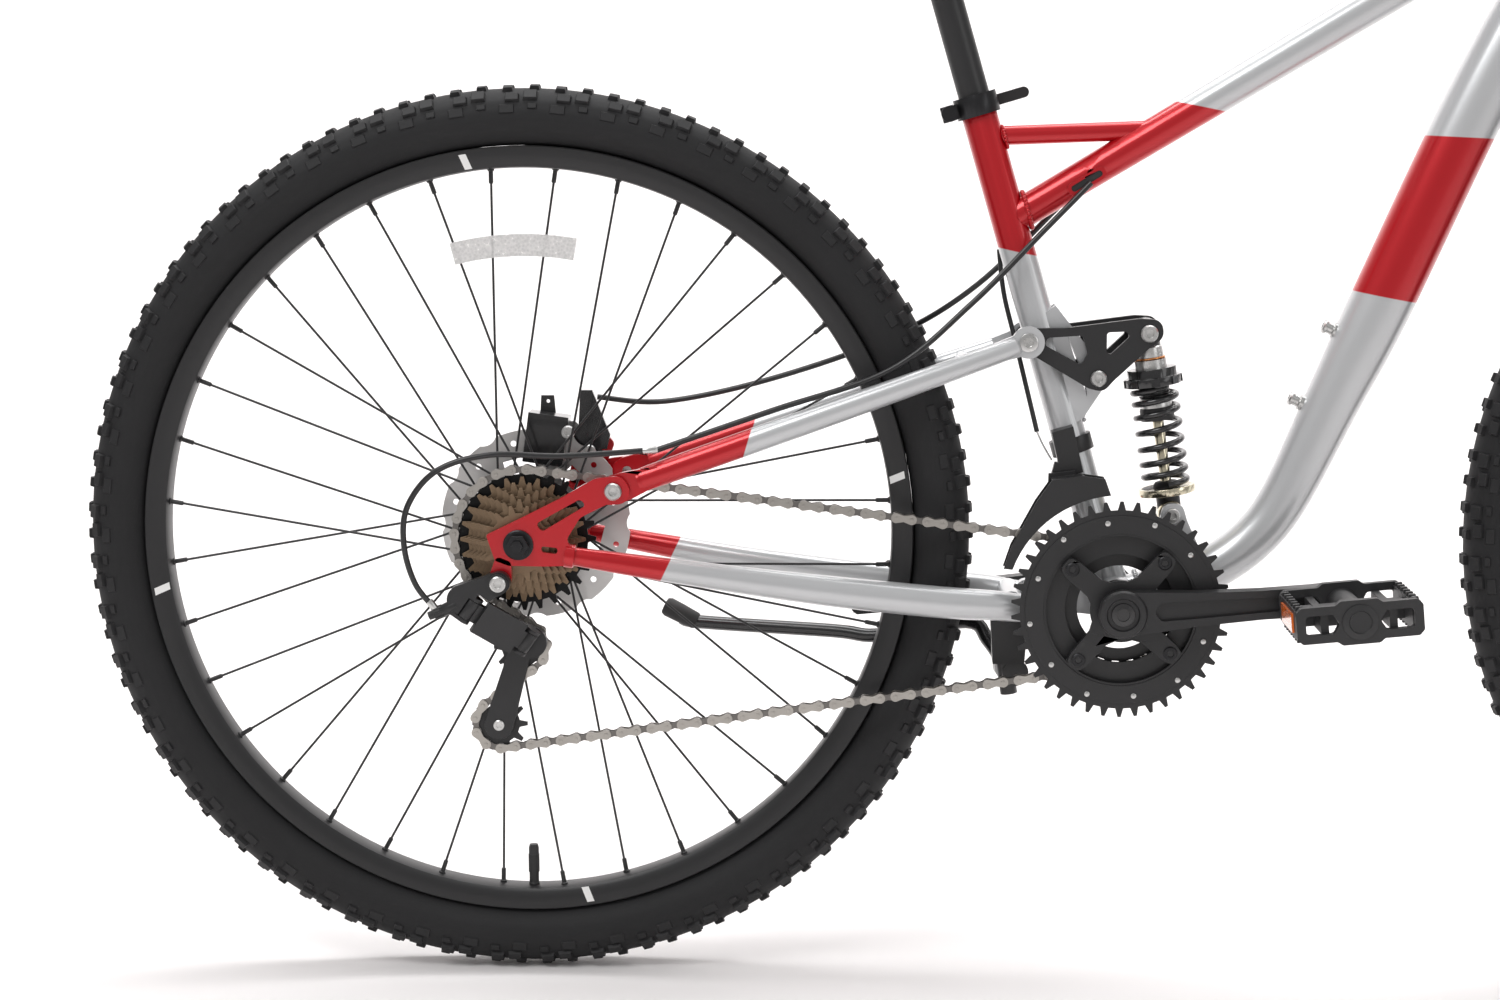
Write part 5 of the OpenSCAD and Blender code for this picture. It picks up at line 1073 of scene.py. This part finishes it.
# ---------- seat ----------
rails = Build()
for s in (-1, 1):
    c = curve_points([(SADDLE[0] - 80, 34 * s, RAIL_Z + 27), (SADDLE[0] - 66, 28 * s, RAIL_Z + 12),
                      (SADDLE[0] - 46, 22 * s, RAIL_Z), (SADDLE[0], 22 * s, RAIL_Z),
                      (SADDLE[0] + 45, 22 * s, RAIL_Z),
                      (SADDLE[0] + 75, 16 * s, RAIL_Z + 9), (SADDLE[0] + 105, 8 * s, RAIL_Z + 25)], 6)
    rails.add(*tube_mesh(c, 3.5, 16), 0)
rails.add(*block_mesh((SADDLE[0], 0, RAIL_Z + 6.6), (40, 58, 6)), 0)
rails.add(*block_mesh((SADDLE[0], 0, RAIL_Z - 4.5), (38, 56, 5)), 0)
for x in (-14, 14):
    rails.add(*turned([(4.6, 0), (4.6, 3), (3.8, 4), (0.1, 4)],
                      Matrix.Translation((SADDLE[0] + x, 0, RAIL_Z + 9.6)), 18), 1)
rails.done("saddle_rail_set", [black_satin, steel], "seat", "black_paint", ("saddle_rails",), bevel=0.8)


def saddle_mesh():
    """Padded shell: wide at the back, long nose, crowned top with a channel, skirt rolled under."""
    length, n_long, n_round = 270.0, 44, 28
    x0 = SADDLE[0] - length * 0.44
    z0 = RAIL_Z + 27
    verts, faces = [], []
    widths = [(0, 40), (8, 60), (25, 76), (48, 79.5), (80, 70), (115, 43), (155, 27), (210, 21), (250, 17),
              (264, 12),
              (270, 5)]
    tops = [(0, 27), (20, 33), (60, 34), (110, 30), (160, 28), (220, 29), (255, 26), (270, 16)]

    def read(table, x):
        for (a, va), (c, vc) in zip(table, table[1:]):
            if x <= c:
                t = (x - a) / (c - a)
                t = t * t * (3 - 2 * t)
                return va + (vc - va) * t
        return table[-1][1]

    for i in range(n_long + 1):
        x = length * (0.5 - 0.5 * math.cos(math.pi * i / n_long))
        w, top = read(widths, x), read(tops, x)
        for k in range(n_round):
            a = math.pi * 2 * k / n_round
            c, s = math.cos(a), math.sin(a)
            y = w * math.copysign(abs(c) ** 0.75, c)
            if s >= 0:
                z = 6 + (top - 6) * abs(s) ** 0.62
                z -= 2.4 * math.exp(-(y / 9.0) ** 2) * min(1.0, x / 60)
            else:
                z = 6 - 5.5 * abs(s) ** 0.5
                y *= 0.93
            verts.append((x0 + x, y, z0 + z))
    for i in range(n_long):
        for k in range(n_round):
            j = (k + 1) % n_round
            faces.append((i * n_round + k, i * n_round + j, (i + 1) * n_round + j, (i + 1) * n_round + k))
    faces.append(tuple(range(n_round))[::-1])
    faces.append(tuple(n_long * n_round + k for k in range(n_round)))
    return verts, [f[::-1] for f in faces]


b = Build()
b.add(*saddle_mesh())
saddle = b.done("saddle_pad", saddle_skin, "seat", "saddle_cover", ("saddle",), sharp=70)

# ---------- fork, bar and grips ----------
b = Build()
for y in (-65, 65):
    low_end, high_end = steer_line(40, 30), steer_line(350, 30)
    m = along(v3(low_end, y), v3(high_end, y))
    n = (v3(high_end) - v3(low_end)).length
    b.add(*turned([(10, 0), (15, 6), (17, 26), (19, 60), (19, n - 34), (20.6, n - 26), (21, n - 3), (19.5, n),
                   (14.2, n)], m, 48), 0)
    b.add(*turned([(18.6, n), (18.2, n + 4), (15.4, n + 5.5)], m, 40), 1)
for s in (-1, 1):
    tip = fillet([plus(FRONT, -13, -4), plus(FRONT, -8, -13), plus(FRONT, 8, -13), plus(FRONT, 14, -3),
                  steer_line(80, 44), steer_line(80, 18)], 7)
    b.add(*mirror_y(plate_mesh(tip, 50.4, 56.2, [circle(FRONT, 5.2, 20)]), s), 0)
arch = curve_points([v3(steer_line(340, 50), -60), v3(steer_line(368, 54), -54), v3(steer_line(392, 54), -30),
                     v3(steer_line(396, 54), 0), v3(steer_line(392, 54), 30), v3(steer_line(368, 54), 54),
                     v3(steer_line(340, 50), 60)], 7)
b.add(*tube_mesh(arch, 7.2, 20, (1.1, 0.9)), 0)
post = fillet([steer_line(20, 26), steer_line(96, 26), steer_line(86, -12), steer_line(50, -16)], 8)
b.add(*plate_mesh(post, 50.2, 57), 0)
b.add(*tube_mesh([v3(FRONT, y) for y in (-64, 64)], 5.0, 20), 1)
for s in (-1, 1):
    b.add(*turned([(9.2, 0), (9.2, 6.4), (7.6, 7.4), (0.1, 7.4)], facing(FRONT, s * 56.2, s), 6), 1)
b.done("fork_sliders", [black_gloss, soft_rubber], "fork_lower", "black_paint", ("fork_lowers",), bevel=0.8)

root = Vector((BAR[0] - 4, 140, BAR[1] + 28))
sweep = math.radians(8)
out = Vector((-math.sin(sweep), math.cos(sweep), 0))
end = root + out * 198
b = Build()
bar_pts = [(BAR[0], 0, BAR[1], 12.7), (BAR[0], 50, BAR[1], 12.7), (BAR[0], 66, BAR[1] + 2.0, 12.5),
           (BAR[0] - 2, 122, BAR[1] + 24, 11.2), (root.x, 142, root.z, 11.1), (*(root + out * 40), 11.1),
           (*end, 11.1)]
for s in (-1, 1):
    c = curve_points(bar_pts, 8)
    b.add(*mirror_y(tube_mesh([p[:3] for p in c], [p[3] for p in c], 28), s))
b.done("handlebar_tube", black_satin, "steering", "black_paint", ("handlebar",))
b = Build()
prof = [(11.2, 0), (17.4, 0), (17.6, 3.5), (15.6, 5)]
z = 6.0
while z < 122:
    prof += [(15.2, z), (16.2, z + 0.8), (16.2, z + 3.2), (15.2, z + 4.0)]
    z += 5.2
prof += [(17.2, 127), (17.4, 130), (15.5, 132.6), (0.2, 133)]
for s in (-1, 1):
    a = root + out * 68
    e = root + out * 198
    b.add(*mirror_y(turned(prof, along(a, e), 36), s))
b.done("grip_sleeves", soft_rubber, "steering", "black_rubber", ("grips",), sharp=50)
brake_front = [tuple(root + Vector((44, -6, -24)))] + [v3(steer_line(s, f), y) for s, f, y in (
    (604, 118, 92), (560, 84, 66), (490, 62, 62), (400, 60, 74), (320, 50, 88), (250, 30, 92), (180, 4, 82),
    (125, -2, 50), (80, -6, 44))]
hose("cable_front_brake", brake_front, 2.4)

# ---------- rear derailleur and callipers: fittings on the CAD bodies ----------
b = Build()
socket_head(b, HANGER, -87.5, -1, 6.4, 2.2)
b.done("changer_mount_bolt", steel, "changer_knuckle", "bright_steel")
b = Build()
for p in (GUIDE, TENSION):
    socket_head(b, p, -43.5, -1, 4.4, 1.4)
b.done("changer_cage_bolts", steel, "changer_cage", "bright_steel")
b = Build()
m = along((REAR[0] - 60, -80, REAR[1] - 52), (REAR[0] - 70, -80, REAR[1] - 56))
b.add(*turned([(4.6, -2), (4.8, 0), (4.8, 8), (3.6, 9), (3.4, 13)], m, 20), 0)
for k in range(8):
    a = math.radians(45 * k)
    b.add(*block_mesh(m @ Vector((4.8 * math.cos(a), 4.8 * math.sin(a), 4)), (1.2, 1.2, 7),
                      m.to_3x3() @ Matrix.Rotation(a, 3, "Z")), 0)
b.done("changer_barrel", [plastic, steel], "changer_knuckle", "black_plastic")
b = Build()
for p, y, rr in ((plus(REAR, 30, 79), 71.0, 5.6), (plus(REAR, 48, 64), 73.6, 5.0)):
    socket_head(b, p, y, 1, rr, 3)
    socket_head(b, p, 2 * 52 - y + 2, -1, rr, 3)
b.done("calliper_bolts", steel, "swingarm", "bright_steel")
b = Build()
for s in (-1, 1):
    b.add(*turned([(9.4, 0), (9.4, 5.4), (8.4, 6.4), (5.4, 6.6), (5.0, 9.6), (0.1, 9.8)],
                  facing(REAR, s * 75.4, s), 6), 0)
    b.add(*turned([(12.2, 0), (12.2, 1.6), (11.4, 2.1), (9.6, 2.1)],
                  facing(REAR, s * 73.5, s), 36), 0)
b.done("rear_axle_nuts", anodised, "swingarm", "bright_steel")


# ---------- stage ----------
def cyclorama():
    """Pale floor that curves up into a wall behind the bike."""
    mesh = bpy.data.meshes.new("cyclorama")
    prof = [(-6.0, 0.0), (1.2, 0.0), (1.7, 0.03), (2.1, 0.14), (2.4, 0.34), (2.6, 0.65), (2.68, 1.1),
            (2.7, 6.0)]
    verts, faces = [], []
    for x in (-9.0, 9.0):
        verts += [(x, y, z) for y, z in prof]
    n = len(prof)
    for i in range(n - 1):
        faces.append((i, n + i, n + i + 1, i + 1))
    mesh.from_pydata(verts, [], faces)
    mesh.polygons.foreach_set("use_smooth", [True] * len(mesh.polygons))
    m, tree, bsdf, coord = new_material("stage_paper")
    n1 = noise(tree, coord, 1.3, 2.0)
    tree.links.new(mix(tree, n1.outputs["Fac"], (0.845, 0.82, 0.815), (0.87, 0.85, 0.85)),
                   bsdf.inputs["Base Color"])
    bsdf.inputs["Roughness"].default_value = 0.75
    bsdf.inputs["Specular IOR Level"].default_value = 0.2
    mesh.materials.append(m)
    o = bpy.data.objects.new("cyclorama", mesh)
    bpy.context.scene.collection.objects.link(o)


cyclorama()


def lamp(name, place, target, size, power):
    data = bpy.data.lights.new(name, "AREA")
    data.shape = "RECTANGLE"
    data.size, data.size_y = size
    data.energy = power
    o = bpy.data.objects.new(name, data)
    o.location = place
    o.rotation_euler = (Vector(target) - Vector(place)).to_track_quat("-Z", "Y").to_euler()
    bpy.context.scene.collection.objects.link(o)


lamp("key", (-1.7, -1.9, 3.1), (-0.2, 0, 0.4), (2.0, 1.2), 52)
lamp("fill", (2.6, -2.4, 1.6), (0, 0, 0.5), (1.4, 2.0), 14)
lamp("top", (0, 0.5, 3.4), (0, 0, 0.4), (3.4, 1.6), 62)
lamp("back", (0.2, 1.2, 3.0), (0, 2.7, 0.8), (6.0, 0.8), 82)

world = bpy.data.worlds.new("studio")
bpy.context.scene.world = world
world.use_nodes = True
sky = world.node_tree.nodes["Background"]
sky.inputs["Color"].default_value = (1.0, 0.985, 0.98, 1)
sky.inputs["Strength"].default_value = 0.42
bpy.context.scene.view_settings.view_transform = "Standard"

# ---------- camera ----------
cam_data = bpy.data.cameras.new("camera")
cam_data.lens = 67.61
cam_data.sensor_width = 36.0
cam_data.clip_start = 0.05
cam_data.clip_end = 60
cam = bpy.data.objects.new("camera", cam_data)
bpy.context.scene.collection.objects.link(cam)
bpy.context.scene.camera = cam
yaw, pitch, roll = math.radians(-2.317), math.radians(7.65), math.radians(-0.279)
forward = Vector((math.sin(yaw) * math.cos(pitch), math.cos(yaw) * math.cos(pitch), -math.sin(pitch)))
right = forward.cross(Vector((0, 0, 1))).normalized()
up = right.cross(forward)
right2 = right * math.cos(roll) + up * math.sin(roll)
up2 = right2.cross(forward)
turn = Matrix((right2, up2, -forward)).transposed().to_4x4()
cam.matrix_world = Matrix.Translation((-0.2888, -2.2984, 0.7026)) @ turn
